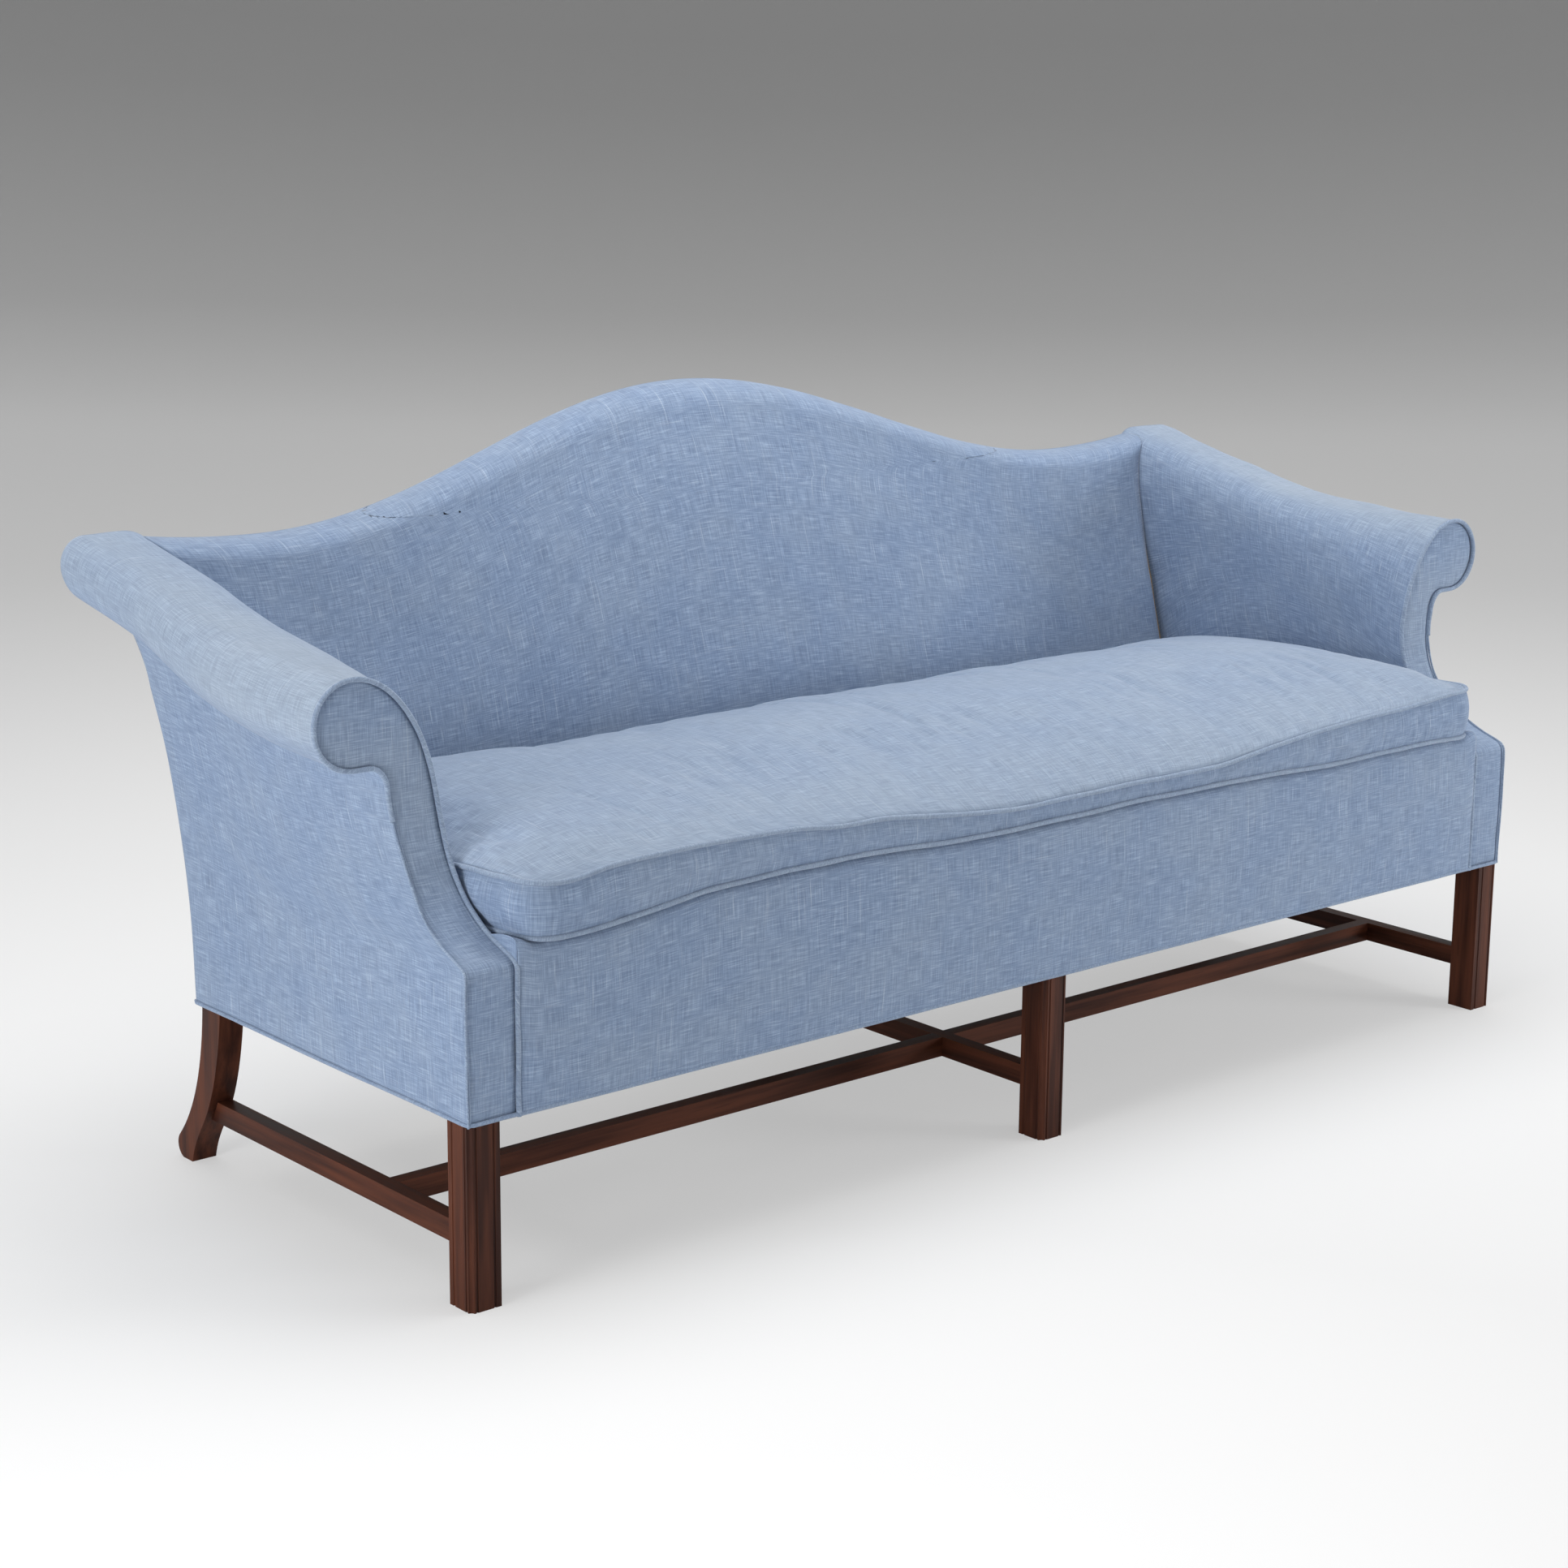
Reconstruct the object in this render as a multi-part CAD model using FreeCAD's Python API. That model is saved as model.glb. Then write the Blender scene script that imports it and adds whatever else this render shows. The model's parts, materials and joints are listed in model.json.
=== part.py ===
"""Camelback sofa with rolled arms, a loose bench cushion and square legs joined by stretchers.

Millimetres. While the pieces are drawn, x = 0 is the middle of the sofa, y = 0 is the front of
the front legs with +Y towards the back, and z = 0 is the floor. At the end everything moves
along Y together, so that the origin is the middle of the footprint.
The right side is drawn and the left side is its mirror image.
"""
import FreeCAD, Part
import math
import os

V = FreeCAD.Vector
X_AXIS, Y_AXIS, Z_AXIS = V(1, 0, 0), V(0, 1, 0), V(0, 0, 1)

# Overall body, over the covers
body_width = 1896.0          # at the hem, outside arm to outside arm
body_depth = 614.0           # at the hem, front to outside back
hem_height = 226.0           # floor to the bottom edge of the covers
back_lean = 15.5             # outside back, degrees from upright
cover_thickness = 2.0        # cloth with its interlining
reach = 1300.0               # half length of the blocks that other shapes are cut from

# Crest of the back: a raised cosine hump, a dip on each side, then a short rise to the arm
crest_height = 953.0
dip_height = 799.0
dip_x = 740.0
crest_end_rise = 14.0
crest_half = 926.0           # the crest ends here, against the arm

# Inside back
inside_back_lean = 17.5
inside_back_y = 602.0        # front of the inside back at the height below
inside_back_z = 472.0
crest_rounding = 26.0
back_pad_over_rail = 14.0    # stuffing over the top of the crest rail

# Arms
facing_width = 70.0
scroll_out = 45.0            # front scroll's centre, outside the hem line
scroll_height = 675.0
scroll_radius = 52.0
roll_out = 49.0              # the same roll where it meets the back
roll_height = 775.0
roll_radius = 42.0
shoulder_spring_front = 526.0    # height where the inside arm starts to lean out
shoulder_spring_back = 480.0
neck_fillet_front = 24.0
neck_fillet_back = 40.0
stem_out_front = 1.0         # outside arm just under the roll, outside the hem line
stem_out_back = 5.0
waist_front = 8.0            # how far the outside arm draws in at mid height
waist_back = 19.0
sweep_start = 230.0          # the arm top starts to rise here
sweep_length = 600.0
arm_pad_front = 24.0
arm_pad_back = 10.0
station_step = 60.0

# Arm front: upright panel, a short slope, then a cove up to the set-back scroll
bend_height = 414.0
bend_radius = 14.0
slope_angle = 20.0
cove_radius = 170.0
setback = 152.0
facing_pad = 6.0
post_inset = 12.0
post_depth = 48.0
post_drop = 25.0

# Show wood
leg_size = 43.0
leg_chamfer = 5.0
reed_depth = 1.6
reed_edge = 9.0
back_leg_width = 35.0
back_leg_inset = 8.0
foot_flare = 70.0            # heel of the back foot behind the leg at the hem
foot_taper = 12.0            # toe of the back foot, farther back again
foot_rounding = 8.0
stretcher_top = 92.0
stretcher_height = 28.0
stretcher_thickness = 21.0
stretcher_inset = 20.0       # side stretcher's outer face from the leg's outer face
long_stretcher_y = 207.0
tenon_thickness = 10.0
tenon_length = 20.0
tenon_shoulder = 5.0

# Seat frame
rail_bottom = 231.0
rail_top = 362.0
rail_thickness = 22.0
front_rail_y = 10.0
side_rail_x = 903.0
leg_block_relief = 8.0       # upper leg stands this far inside its front face
leg_block_side_relief = 15.0 # and this far inside its outer face, clear of the lining
leg_block_top = 372.0
corner_block_leg = 70.0
corner_block_z = (270.0, 320.0)
brace_thickness = 18.0
brace_top = 340.0
screw_radius = 2.2
screw_head_radius = 4.0
screw_head = 2.6
screw_length = 46.0
lap_screw_length = 24.0
screw_stagger = 12.0         # screws in one block miss each other by this height each way

# Back frame, measured forward from the outside back
frame_offset = 8.0
post_thickness = 34.0
crest_rail_thickness = 28.0
crest_rail_depth = 74.0
back_post_x = (892.0, 926.0)
tuck_rail_z = (392.0, 432.0)
stile_x = 300.0
stile_width = 50.0
webbing_thickness = 1.5
webbing_width = 50.0
webbing_count = 12

# Seat springs and deck
spring_count = 14
spring_spacing = 124.0
spring_wire = 1.9
spring_half_width = 20.0
spring_bend = 11.0
spring_rows = 24
spring_start_y = 24.0
clip_width = 16.0
clip_sheet = 1.2
tie_wire = 1.6
tie_wire_y = (186.0, 384.0)
deck_height = 428.0          # deck's top at the front edge
seat_pitch = 2.5             # degrees, down to the back
deck_half = 873.0
tuck_z = 376.0
burlap_thickness = 1.5
layer_gap = 0.3                 # air left between two layers that lie loosely on each other

# Seat cushion, measured flat before it takes the seat's pitch
cushion_half = 866.0
cushion_depth = 576.0
cushion_front = -2.0
cushion_corner = 34.0
cushion_draw_in = 5.0        # the front and the ends pull in between the corners
boxing_height = 62.0
boxing_bulge = 4.0
crown_top = 46.0
crown_bottom = 8.0
welt_size = 5.0
facing_welt_size = 4.0
hem_welt_size = 5.0
rest_gap = 0.5
zip_half = 760.0
zip_tape_width = 24.0
zip_chain_width = 6.0
zip_chain_height = 1.8
zip_tape_thickness = 0.8
zip_clearance = 0.4
slider_length = 14.0
slider_wall = 1.2
slider_inset = 24.0

body_half = body_width / 2
arm_inner_x = body_half - facing_width
scroll_x = body_half + scroll_out
roll_x = body_half + roll_out
lean = math.tan(math.radians(back_lean))
inside_lean = math.tan(math.radians(inside_back_lean))
pitch = math.tan(math.radians(seat_pitch))
nodes = {}


def mix(a, b, w):
    return a + (b - a) * w


def box(x0, x1, y0, y1, z0, z1):
    return Part.makeBox(x1 - x0, y1 - y0, z1 - z0, V(x0, y0, z0))


def curve(points):
    spline = Part.BSplineCurve()
    spline.interpolate(points)
    return spline.toShape()


def polygon(points):
    return Part.makePolygon(points + [points[0]])


def closed_wire(edges):
    return Part.Wire(Part.__sortEdges__(edges))


def side_block(wire, half=reach):
    """Extrude a wire drawn in the side view, at x = 0, to both sides."""
    face = Part.Face(wire)
    face.translate(V(-half, 0, 0))
    return face.extrude(V(2 * half, 0, 0))


def front_block(wire, y0=-reach / 8, length=reach):
    """Extrude a wire drawn in the front view, at y = 0, towards the back."""
    face = Part.Face(wire)
    face.translate(V(0, y0, 0))
    return face.extrude(V(0, length, 0))


def side_polygon(pairs, half=reach):
    return side_block(polygon([V(0, y, z) for y, z in pairs]), half)


def mirrored(shape):
    return shape.mirror(V(0, 0, 0), X_AXIS)


def trim(shape, *others):
    """Cut the others away and keep the main piece."""
    for other in others:
        shape = shape.cut(other)
    return max(shape.Solids, key=lambda solid: solid.Volume)


def both_sides(name, shape):
    nodes[name + "_right"] = shape
    nodes[name + "_left"] = mirrored(shape)


def group(shapes):
    return Part.makeCompound([solid for shape in shapes for solid in shape.Solids])


# Outside back: everything in the back is placed by its distance forward of this plane
def back_y(z, offset=0.0):
    return body_depth + lean * (z - hem_height) - offset


def back_layer(near, far, z0=0.0, z1=reach):
    """Slab between two distances forward of the outside back."""
    return side_polygon([(back_y(z0, far), z0), (back_y(z0, near), z0),
                         (back_y(z1, near), z1), (back_y(z1, far), z1)])


def inside_y(z, depth=0.0):
    return inside_back_y + inside_lean * (z - inside_back_z) + depth


def crest_z(x):
    x = abs(x)
    if x < dip_x:
        return dip_height + (crest_height - dip_height) * (1 + math.cos(math.pi * x / dip_x)) / 2
    return dip_height + crest_end_rise * ((x - dip_x) / (crest_half - dip_x)) ** 2


def crest_curve(drop, half=crest_half, count=24):
    xs = [-half + 2 * half * k / count for k in range(count + 1)]
    return curve([V(x, 0, crest_z(x) - drop) for x in xs])


def back_outline(drop, half, bottom):
    """Front view of the back: the crest, straight sides and a straight bottom."""
    top = crest_curve(drop, half)
    side = crest_z(half) - drop
    return closed_wire([top,
                        Part.makeLine(V(half, 0, side), V(half, 0, bottom)),
                        Part.makeLine(V(half, 0, bottom), V(-half, 0, bottom)),
                        Part.makeLine(V(-half, 0, bottom), V(-half, 0, side))])


# Arm front profile in the side view, at a depth behind the show surface
def front_edges(depth, top=reach):
    slope = math.radians(slope_angle)
    corner_z = bend_height - bend_radius
    corner = V(0, bend_radius, corner_z)
    start = corner + V(0, -bend_radius * math.sin(slope), bend_radius * math.cos(slope))
    cove_y = setback - cove_radius
    run = (cove_y + cove_radius * math.sin(slope) - start.y) / math.cos(slope)
    cove = V(0, cove_y, start.z + run * math.sin(slope) + cove_radius * math.cos(slope))

    def on(centre, radius, degrees):
        angle = math.radians(degrees)
        return centre + V(0, radius * math.cos(angle), radius * math.sin(angle))

    r = bend_radius - depth
    big = cove_radius + depth
    a0, a1, a2 = on(corner, r, 180), on(corner, r, 135 + slope_angle / 2), on(corner, r, 90 + slope_angle)
    b0, b1, b2 = on(cove, big, slope_angle - 90), on(cove, big, (slope_angle - 90) / 2), on(cove, big, 0)
    foot = V(0, depth, 0)
    head = V(0, b2.y, top)
    edges = [Part.makeLine(foot, a0), Part.Arc(a0, a1, a2).toShape(), Part.makeLine(a2, b0),
             Part.Arc(b0, b1, b2).toShape(), Part.makeLine(b2, head)]
    return edges, foot, head


def behind_front(depth, offset):
    """Everything between the arm front, at a depth, and the back, at an offset."""
    edges, foot, head = front_edges(depth)
    low, high = V(0, back_y(0, offset), 0), V(0, back_y(reach, offset), reach)
    edges += [Part.makeLine(head, high), Part.makeLine(high, low), Part.makeLine(low, foot)]
    return side_block(closed_wire(edges))


def front_sheet(near, far):
    """A layer that follows the arm front, between two depths."""
    outer, foot_a, head_a = front_edges(near)
    inner, foot_b, head_b = front_edges(far)
    edges = outer + inner + [Part.makeLine(foot_a, foot_b), Part.makeLine(head_a, head_b)]
    return side_block(closed_wire(edges))


# Arm sections: w = 0 at the front scroll, w = 1 at the back; d is the depth under the surface
def arm_blend(y):
    t = min(max((y - sweep_start) / sweep_length, 0.0), 1.0)
    return t * t * (3 - 2 * t)


def roll_at(w):
    return mix(scroll_x, roll_x, w), mix(scroll_height, roll_height, w), mix(scroll_radius, roll_radius, w)


def inside_arm_points(w, d, bottom, lean_end=90.0, over_roll=True):
    """Up the inside arm from its bottom and, if wanted, over the roll to its underside."""
    x_in = arm_inner_x + d
    x_roll, z_roll, r = roll_at(w)
    z_spring = mix(shoulder_spring_front, shoulder_spring_back, w)
    power = mix(1.0, 0.5, w)
    points = [(x_in, bottom), (x_in, mix(bottom, z_spring, 0.5))]
    steps = 9
    for k in range(steps + 1):
        angle = math.radians(lean_end * k / steps)
        c, s = max(math.cos(angle), 0.0) ** power, math.sin(angle) ** power
        points.append((x_roll - (x_roll - x_in) * c, z_spring + (z_roll + r - d - z_spring) * s))
    if over_roll:
        for k in range(1, steps + 1):
            angle = math.radians(90 - 180 * k / steps)
            points.append((x_roll + (r - d) * math.cos(angle), z_roll + (r - d) * math.sin(angle)))
    return points


def outside_arm_points(w, d, bottom=hem_height):
    """From the underside of the roll, round the neck and down the outside arm."""
    x_roll, z_roll, r = roll_at(w)
    fillet = mix(neck_fillet_front, neck_fillet_back, w)
    stem = body_half + mix(stem_out_front, stem_out_back, w)
    waist = mix(waist_front, waist_back, w)
    centre_x, centre_z = stem + fillet, z_roll - r - fillet
    points = [(x_roll, z_roll - r + d)]
    turns = 4
    for k in range(turns + 1):
        angle = math.radians(90 + 90 * k / turns)
        points.append((centre_x + (fillet + d) * math.cos(angle), centre_z + (fillet + d) * math.sin(angle)))
    steps = 8
    for k in range(1, steps + 1):
        z = mix(centre_z, bottom, k / steps)
        t = (z - hem_height) / (centre_z - hem_height)
        points.append((mix(body_half, stem, t) - waist * math.sin(math.pi * t) - d, z))
    return points


def shell_section(y, outer, inner):
    """Closed section between two open lines of points, at one place along the arm."""
    a, b = [V(x, y, z) for x, z in outer], [V(x, y, z) for x, z in inner]
    return Part.Wire([curve(a), Part.makeLine(a[-1], b[-1]), curve(b[::-1]), Part.makeLine(b[0], a[0])])


def solid_section(y, w, d, bottom):
    inside = [V(x, y, z) for x, z in inside_arm_points(w, d, bottom)]
    outside = [V(x, y, z) for x, z in outside_arm_points(w, d, bottom)]
    return Part.Wire([curve(inside), curve(outside), Part.makeLine(outside[-1], inside[0])])


def arm_stations():
    places = [0.0, sweep_start]
    while places[-1] < sweep_start + sweep_length:
        places.append(places[-1] + station_step)
    return places


def arm_loft(section):
    return Part.makeLoft([section(y, arm_blend(y)) for y in arm_stations()], True, True)


def pad_depth(w):
    return mix(arm_pad_front, arm_pad_back, w)


def arm_shell(points, near, far):
    """A layer of the arm between two depths, each a function of the blend."""
    return arm_loft(lambda y, w: shell_section(y, points(w, near(w)), points(w, far(w))))


def fixed(depth):
    return lambda w: depth


# Legs
def front_leg(x_outer, x_inner, block_outer, side_faces):
    """Square leg with moulded show faces; its upper block stands inside the covers."""
    leg = box(min(x_outer, x_inner), max(x_outer, x_inner), 0, leg_size, 0, hem_height)
    tall = []
    for x in side_faces:
        tall.append(Part.makeCylinder(leg_chamfer, hem_height, V(x, 0, 0)))
        tall.append(Part.makeCylinder(reed_depth, hem_height, V(x, reed_edge, 0)))
        tall.append(Part.makeCylinder(reed_depth, hem_height, V(x, leg_size - reed_edge, 0)))
    for x in (x_outer - math.copysign(reed_edge, x_outer - x_inner),
              x_inner + math.copysign(reed_edge, x_outer - x_inner)):
        tall.append(Part.makeCylinder(reed_depth, hem_height, V(x, 0, 0)))
    for groove in tall:
        leg = leg.cut(groove)
    return leg.fuse(block_outer).removeSplitter()


leg_outer = body_half
leg_inner = body_half - leg_size
leg_block = box(leg_inner, leg_outer - leg_block_side_relief, leg_block_relief, leg_size, hem_height, leg_block_top)
end_leg = front_leg(leg_outer, leg_inner, leg_block, [leg_outer])
half_leg = leg_size / 2
front_lap_y = front_rail_y + rail_thickness
middle_tongue = box(-half_leg, half_leg, front_lap_y, leg_size, hem_height, rail_top - tenon_shoulder)
middle_front_leg = front_leg(half_leg, -half_leg, middle_tongue, [half_leg, -half_leg])

# Back leg and post in one piece: a flared foot, then a post that leans with the back
hem_back = back_y(hem_height, frame_offset)
hem_front = back_y(hem_height, frame_offset + leg_size)


def back_leg_outline(top, depth_at_top):
    heel = hem_back + foot_flare
    toe = hem_front + foot_flare + foot_taper
    back = [V(0, hem_back, hem_height), V(0, hem_back + 8, 160), V(0, hem_back + 35, 80), V(0, heel, 30)]
    front = [V(0, toe, 0), V(0, toe - 9, 25), V(0, hem_front + 45, 70), V(0, hem_front + 9, 165),
             V(0, hem_front, hem_height)]
    head_back = V(0, back_y(top, frame_offset), top)
    head_front = V(0, back_y(top, frame_offset + depth_at_top), top)
    heel_low = V(0, heel - foot_rounding, 0)
    edges = [Part.makeLine(head_back, back[0]), curve(back),
             Part.Arc(back[-1], V(0, heel + foot_rounding / 2, 12), heel_low).toShape(),
             Part.makeLine(heel_low, front[0]), curve(front),
             Part.makeLine(front[-1], head_front), Part.makeLine(head_front, head_back)]
    return closed_wire(edges)


def slice_x(block, x0, x1):
    return block.common(box(x0, x1, -reach, reach, -reach, reach))


crest_rail_drop = back_pad_over_rail + cover_thickness
crest_rail_bottom = crest_z(crest_half) - crest_rail_drop - crest_rail_depth
leg_side = side_block(back_leg_outline(crest_rail_bottom, post_thickness))
below = box(-reach, reach, 0, reach, 0, hem_height)
above = box(-reach, reach, 0, reach, hem_height, reach)
back_leg_x = body_half - back_leg_inset
post = slice_x(leg_side, *back_post_x).common(above)
end_back_leg = slice_x(leg_side, back_leg_x - back_leg_width, back_leg_x).common(below).fuse(post)
post_tenon = slice_x(back_layer(frame_offset + 9, frame_offset + 19, crest_rail_bottom, crest_rail_bottom + 30),
                     back_post_x[0] + 6, back_post_x[1] - 8)
end_back_leg = end_back_leg.fuse(post_tenon).removeSplitter()
end_back_leg = trim(end_back_leg, back_layer(frame_offset + post_thickness, reach, leg_block_top, reach))
half_back_leg = back_leg_width / 2
back_lap = frame_offset + rail_thickness
middle_back_leg = slice_x(side_block(back_leg_outline(rail_top, leg_size)), -half_back_leg, half_back_leg)
middle_back_leg = middle_back_leg.cut(back_layer(-40, back_lap, hem_height, reach))
middle_back_leg = middle_back_leg.cut(box(-reach, reach, 0, reach, rail_top - tenon_shoulder, reach))

# Stretchers, tenoned into the legs and into each other
stretcher_bottom = stretcher_top - stretcher_height
tenon_low, tenon_high = stretcher_bottom + tenon_shoulder, stretcher_top - tenon_shoulder
tenon_half = tenon_thickness / 2
foot_zone = back_y(hem_height)


def fore_and_aft(x0, x1, back_leg):
    """Stretcher from a front leg to the back leg behind it."""
    middle = (x0 + x1) / 2
    bar = trim(box(x0, x1, leg_size, foot_zone, stretcher_bottom, stretcher_top), back_leg)
    front_tenon = box(middle - tenon_half, middle + tenon_half, leg_size - tenon_length, leg_size,
                      tenon_low, tenon_high)
    back_end = bar.BoundBox.YMax
    back_tenon = box(middle - tenon_half, middle + tenon_half, leg_size + 1, back_end + tenon_length / 2,
                     tenon_low, tenon_high)
    return bar.fuse([front_tenon, back_tenon]).removeSplitter()


side_x = (leg_outer - stretcher_inset - stretcher_thickness, leg_outer - stretcher_inset)
side_stretcher = fore_and_aft(side_x[0], side_x[1], end_back_leg)
half_bar = stretcher_thickness / 2
middle_stretcher = fore_and_aft(-half_bar, half_bar, middle_back_leg)
end_leg = end_leg.cut(side_stretcher)
end_back_leg = end_back_leg.cut(side_stretcher)
middle_front_leg = middle_front_leg.cut(middle_stretcher)
middle_back_leg = middle_back_leg.cut(middle_stretcher)

long_y = (long_stretcher_y, long_stretcher_y + stretcher_thickness)
long_middle = sum(long_y) / 2
bridle = half_bar * 0.6
long_stretcher = box(half_bar, side_x[0], long_y[0], long_y[1], stretcher_bottom, stretcher_top)
long_tenon = box(half_bar - bridle, side_x[0] + bridle, long_middle - tenon_half, long_middle + tenon_half,
                 tenon_low, tenon_high)
long_stretcher = long_stretcher.fuse(long_tenon).removeSplitter()
side_stretcher = side_stretcher.cut(long_stretcher)
middle_stretcher = middle_stretcher.cut(long_stretcher).cut(mirrored(long_stretcher))

# Seat rails
rail_tenon_z = (rail_bottom + 15, rail_top - 15)
front_rail = box(-leg_inner, leg_inner, front_rail_y, front_lap_y, rail_bottom, rail_top)
front_tenon_y = front_rail_y + (rail_thickness - tenon_thickness) / 2
front_tenon = box(-leg_inner - tenon_length, leg_inner + tenon_length, front_tenon_y,
                  front_tenon_y + tenon_thickness, *rail_tenon_z)
front_rail = front_rail.fuse(front_tenon).removeSplitter()

side_rail_outer = side_rail_x + rail_thickness
side_tenon_x = side_rail_x + (rail_thickness - tenon_thickness) / 2
side_rail = trim(box(side_rail_x, side_rail_outer, leg_size, body_depth, rail_bottom, rail_top),
                 back_layer(-200, frame_offset + post_thickness + 6))
side_tenon = box(side_tenon_x, side_tenon_x + tenon_thickness, leg_size - tenon_length / 2, body_depth + 20,
                 *rail_tenon_z)
side_tenon = side_tenon.cut(back_layer(-200, frame_offset + post_thickness - tenon_length))
side_rail = side_rail.fuse(side_tenon).removeSplitter()
side_rail = trim(side_rail, front_rail)

back_rail_x = back_post_x[0]
back_rail = slice_x(back_layer(frame_offset, back_lap, rail_bottom, rail_top), -back_rail_x, back_rail_x)
back_tenon = slice_x(back_layer(frame_offset + 3, frame_offset + 3 + tenon_thickness, *rail_tenon_z),
                     -back_rail_x - tenon_length / 2, back_rail_x + tenon_length / 2)
back_rail = back_rail.fuse(back_tenon).removeSplitter()

end_leg = trim(end_leg, front_rail, side_rail)
end_back_leg = trim(end_back_leg, side_rail, back_rail, mirrored(back_rail))

brace = box(-brace_thickness / 2, brace_thickness / 2, leg_size, reach, rail_bottom, brace_top)
seat_brace = trim(brace, middle_back_leg, back_layer(-reach, frame_offset + leg_size))


# Corner blocks, glued and screwed into the corners of the seat frame
def corner_block(x, y, x_sign, y_sign, lean_back=0.0):
    z0, z1 = corner_block_z
    corner = [V(x, y, z0), V(x + x_sign * corner_block_leg, y, z0), V(x, y + y_sign * corner_block_leg, z0)]
    return Part.Face(polygon(corner)).extrude(V(0, 0, z1 - z0))


back_block_y = back_y(corner_block_z[0], back_lap)
block_corners = [(side_rail_x, leg_size, -1, 1), (side_rail_x, back_block_y, -1, -1)]
blocks, screws = [], []
screw_z = sum(corner_block_z) / 2


def wood_screw(x, y, z, direction, length):
    shank = Part.makeCylinder(screw_radius, length, V(x, y, z), direction)
    head = Part.makeCylinder(screw_head_radius, screw_head, V(x, y, z) - direction * screw_head, direction)
    return shank.fuse(head)


for x, y, x_sign, y_sign in block_corners:
    block = corner_block(x, y, x_sign, y_sign)
    third = corner_block_leg / 3
    to_side = wood_screw(x + x_sign * (corner_block_leg - third), y + y_sign * third, screw_z + screw_stagger,
                         V(-x_sign, 0, 0), screw_length)
    to_rail = wood_screw(x + x_sign * third, y + y_sign * (corner_block_leg - third), screw_z - screw_stagger,
                         V(0, -y_sign, 0), screw_length)
    blocks.append(trim(block, end_leg, end_back_leg, back_rail))
    screws += [to_side, to_rail]

# The middle legs are lapped to the rails, and four screws hold each one beside the brace
lap_screw_x = brace_thickness / 2 + screw_head_radius + 0.4
for z in (rail_bottom + 40, rail_top - 40):
    lap_back = back_y(z, frame_offset + leg_size)
    for y, direction in ((leg_size, V(0, -1, 0)), (lap_back, V(0, 1, 0))):
        screws.append(wood_screw(lap_screw_x, y, z, direction, lap_screw_length))

blocks = blocks + [mirrored(block) for block in blocks]
screws = screws + [mirrored(screw) for screw in screws]
all_screws = group(screws)
blocks = [block.cut(all_screws) for block in blocks]

# Back frame
crest_rail = front_block(back_outline(crest_rail_drop, crest_half, crest_rail_bottom))
under_crest = front_block(back_outline(crest_rail_drop + crest_rail_depth, crest_half, hem_height))
crest_rail = crest_rail.cut(under_crest).common(back_layer(frame_offset, frame_offset + crest_rail_thickness))
crest_rail = trim(crest_rail, end_back_leg, mirrored(end_back_leg))
frame_front = frame_offset + post_thickness
half_frame = frame_offset + post_thickness / 2
tuck_rail = slice_x(back_layer(half_frame, frame_front, *tuck_rail_z), -back_rail_x, back_rail_x)
stile_block = slice_x(back_layer(frame_offset, half_frame, rail_top, reach),
                      stile_x - stile_width / 2, stile_x + stile_width / 2)
stile = trim(stile_block.common(under_crest), crest_rail)

# Arms: covers, stuffing and frame
arm_zone = behind_front(cover_thickness, cover_thickness)


def facing_outline(d, bottom=hem_height):
    return solid_section(0, 0.0, d, bottom)


facing_solid = front_block(facing_outline(0))
facing = facing_solid.common(front_sheet(0, cover_thickness))
facing_padding = front_block(facing_outline(cover_thickness))
facing_padding = facing_padding.common(front_sheet(cover_thickness, cover_thickness + facing_pad))
welt_ring = front_block(facing_outline(-facing_welt_size)).cut(facing_solid)
welt_ring = welt_ring.common(box(-reach, reach, -reach, reach, hem_height + hem_welt_size, reach))
facing_welt = welt_ring.common(front_sheet(0, facing_welt_size))

post_front = cover_thickness + facing_pad
post_block = front_block(facing_outline(post_inset)).common(behind_front(post_front, 0))
behind_post = behind_front(post_front, 0)
behind_post.translate(V(0, post_depth, -post_drop))
arm_post = trim(post_block, behind_post, box(-reach, reach, -reach, reach, 0, leg_block_top))
dowel_x = (leg_inner + leg_outer - leg_block_relief) / 2
dowel = Part.makeCylinder(tenon_half, tenon_length, V(dowel_x, leg_size * 0.6, leg_block_top - tenon_length))
arm_post = arm_post.fuse(dowel)
end_leg = end_leg.cut(dowel)

def back_body(drop, depth, offset, rounding, half=crest_half, bottom=tuck_z):
    """The back between its front face, at a depth, and an offset from the outside back."""
    z0, z1 = 0.0, reach
    side = side_polygon([(inside_y(z0, depth), z0), (back_y(z0, offset), z0),
                         (back_y(z1, offset), z1), (inside_y(z1, depth), z1)])
    solid = front_block(back_outline(drop, half, bottom)).common(side)
    top_z = crest_height - drop
    front_y = inside_y(top_z, depth)
    edges = [edge for edge in solid.Edges
             if edge.BoundBox.XLength > crest_half and abs(edge.BoundBox.ZMax - top_z) < 2
             and abs(edge.BoundBox.YMax - front_y) < 4]
    return solid.makeFillet(rounding, edges)


back_outer = back_body(0, 0, 0, crest_rounding)
back_inner = back_body(cover_thickness, cover_thickness, -20, crest_rounding - cover_thickness)
inside_back_cover = trim(back_outer, back_inner)
webbing_front = frame_front + 2 * webbing_thickness
burlap_front = webbing_front + burlap_thickness
frame_space = front_block(back_outline(crest_rail_drop, crest_half, 0)).common(back_layer(-60, burlap_front))
back_pad = trim(back_inner, frame_space, back_layer(-60, 2 * cover_thickness))

cover_at = fixed(cover_thickness)
inside_line = lambda w, d: inside_arm_points(w, d, tuck_z)
inside_cover = arm_shell(inside_line, fixed(0.0), cover_at).common(arm_zone)
inside_arm_cover = trim(inside_cover, back_outer)
inside_pad = arm_shell(inside_line, cover_at, pad_depth).common(behind_front(post_front, cover_thickness))
inside_arm_pad = trim(inside_pad, back_outer, arm_post)

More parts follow.
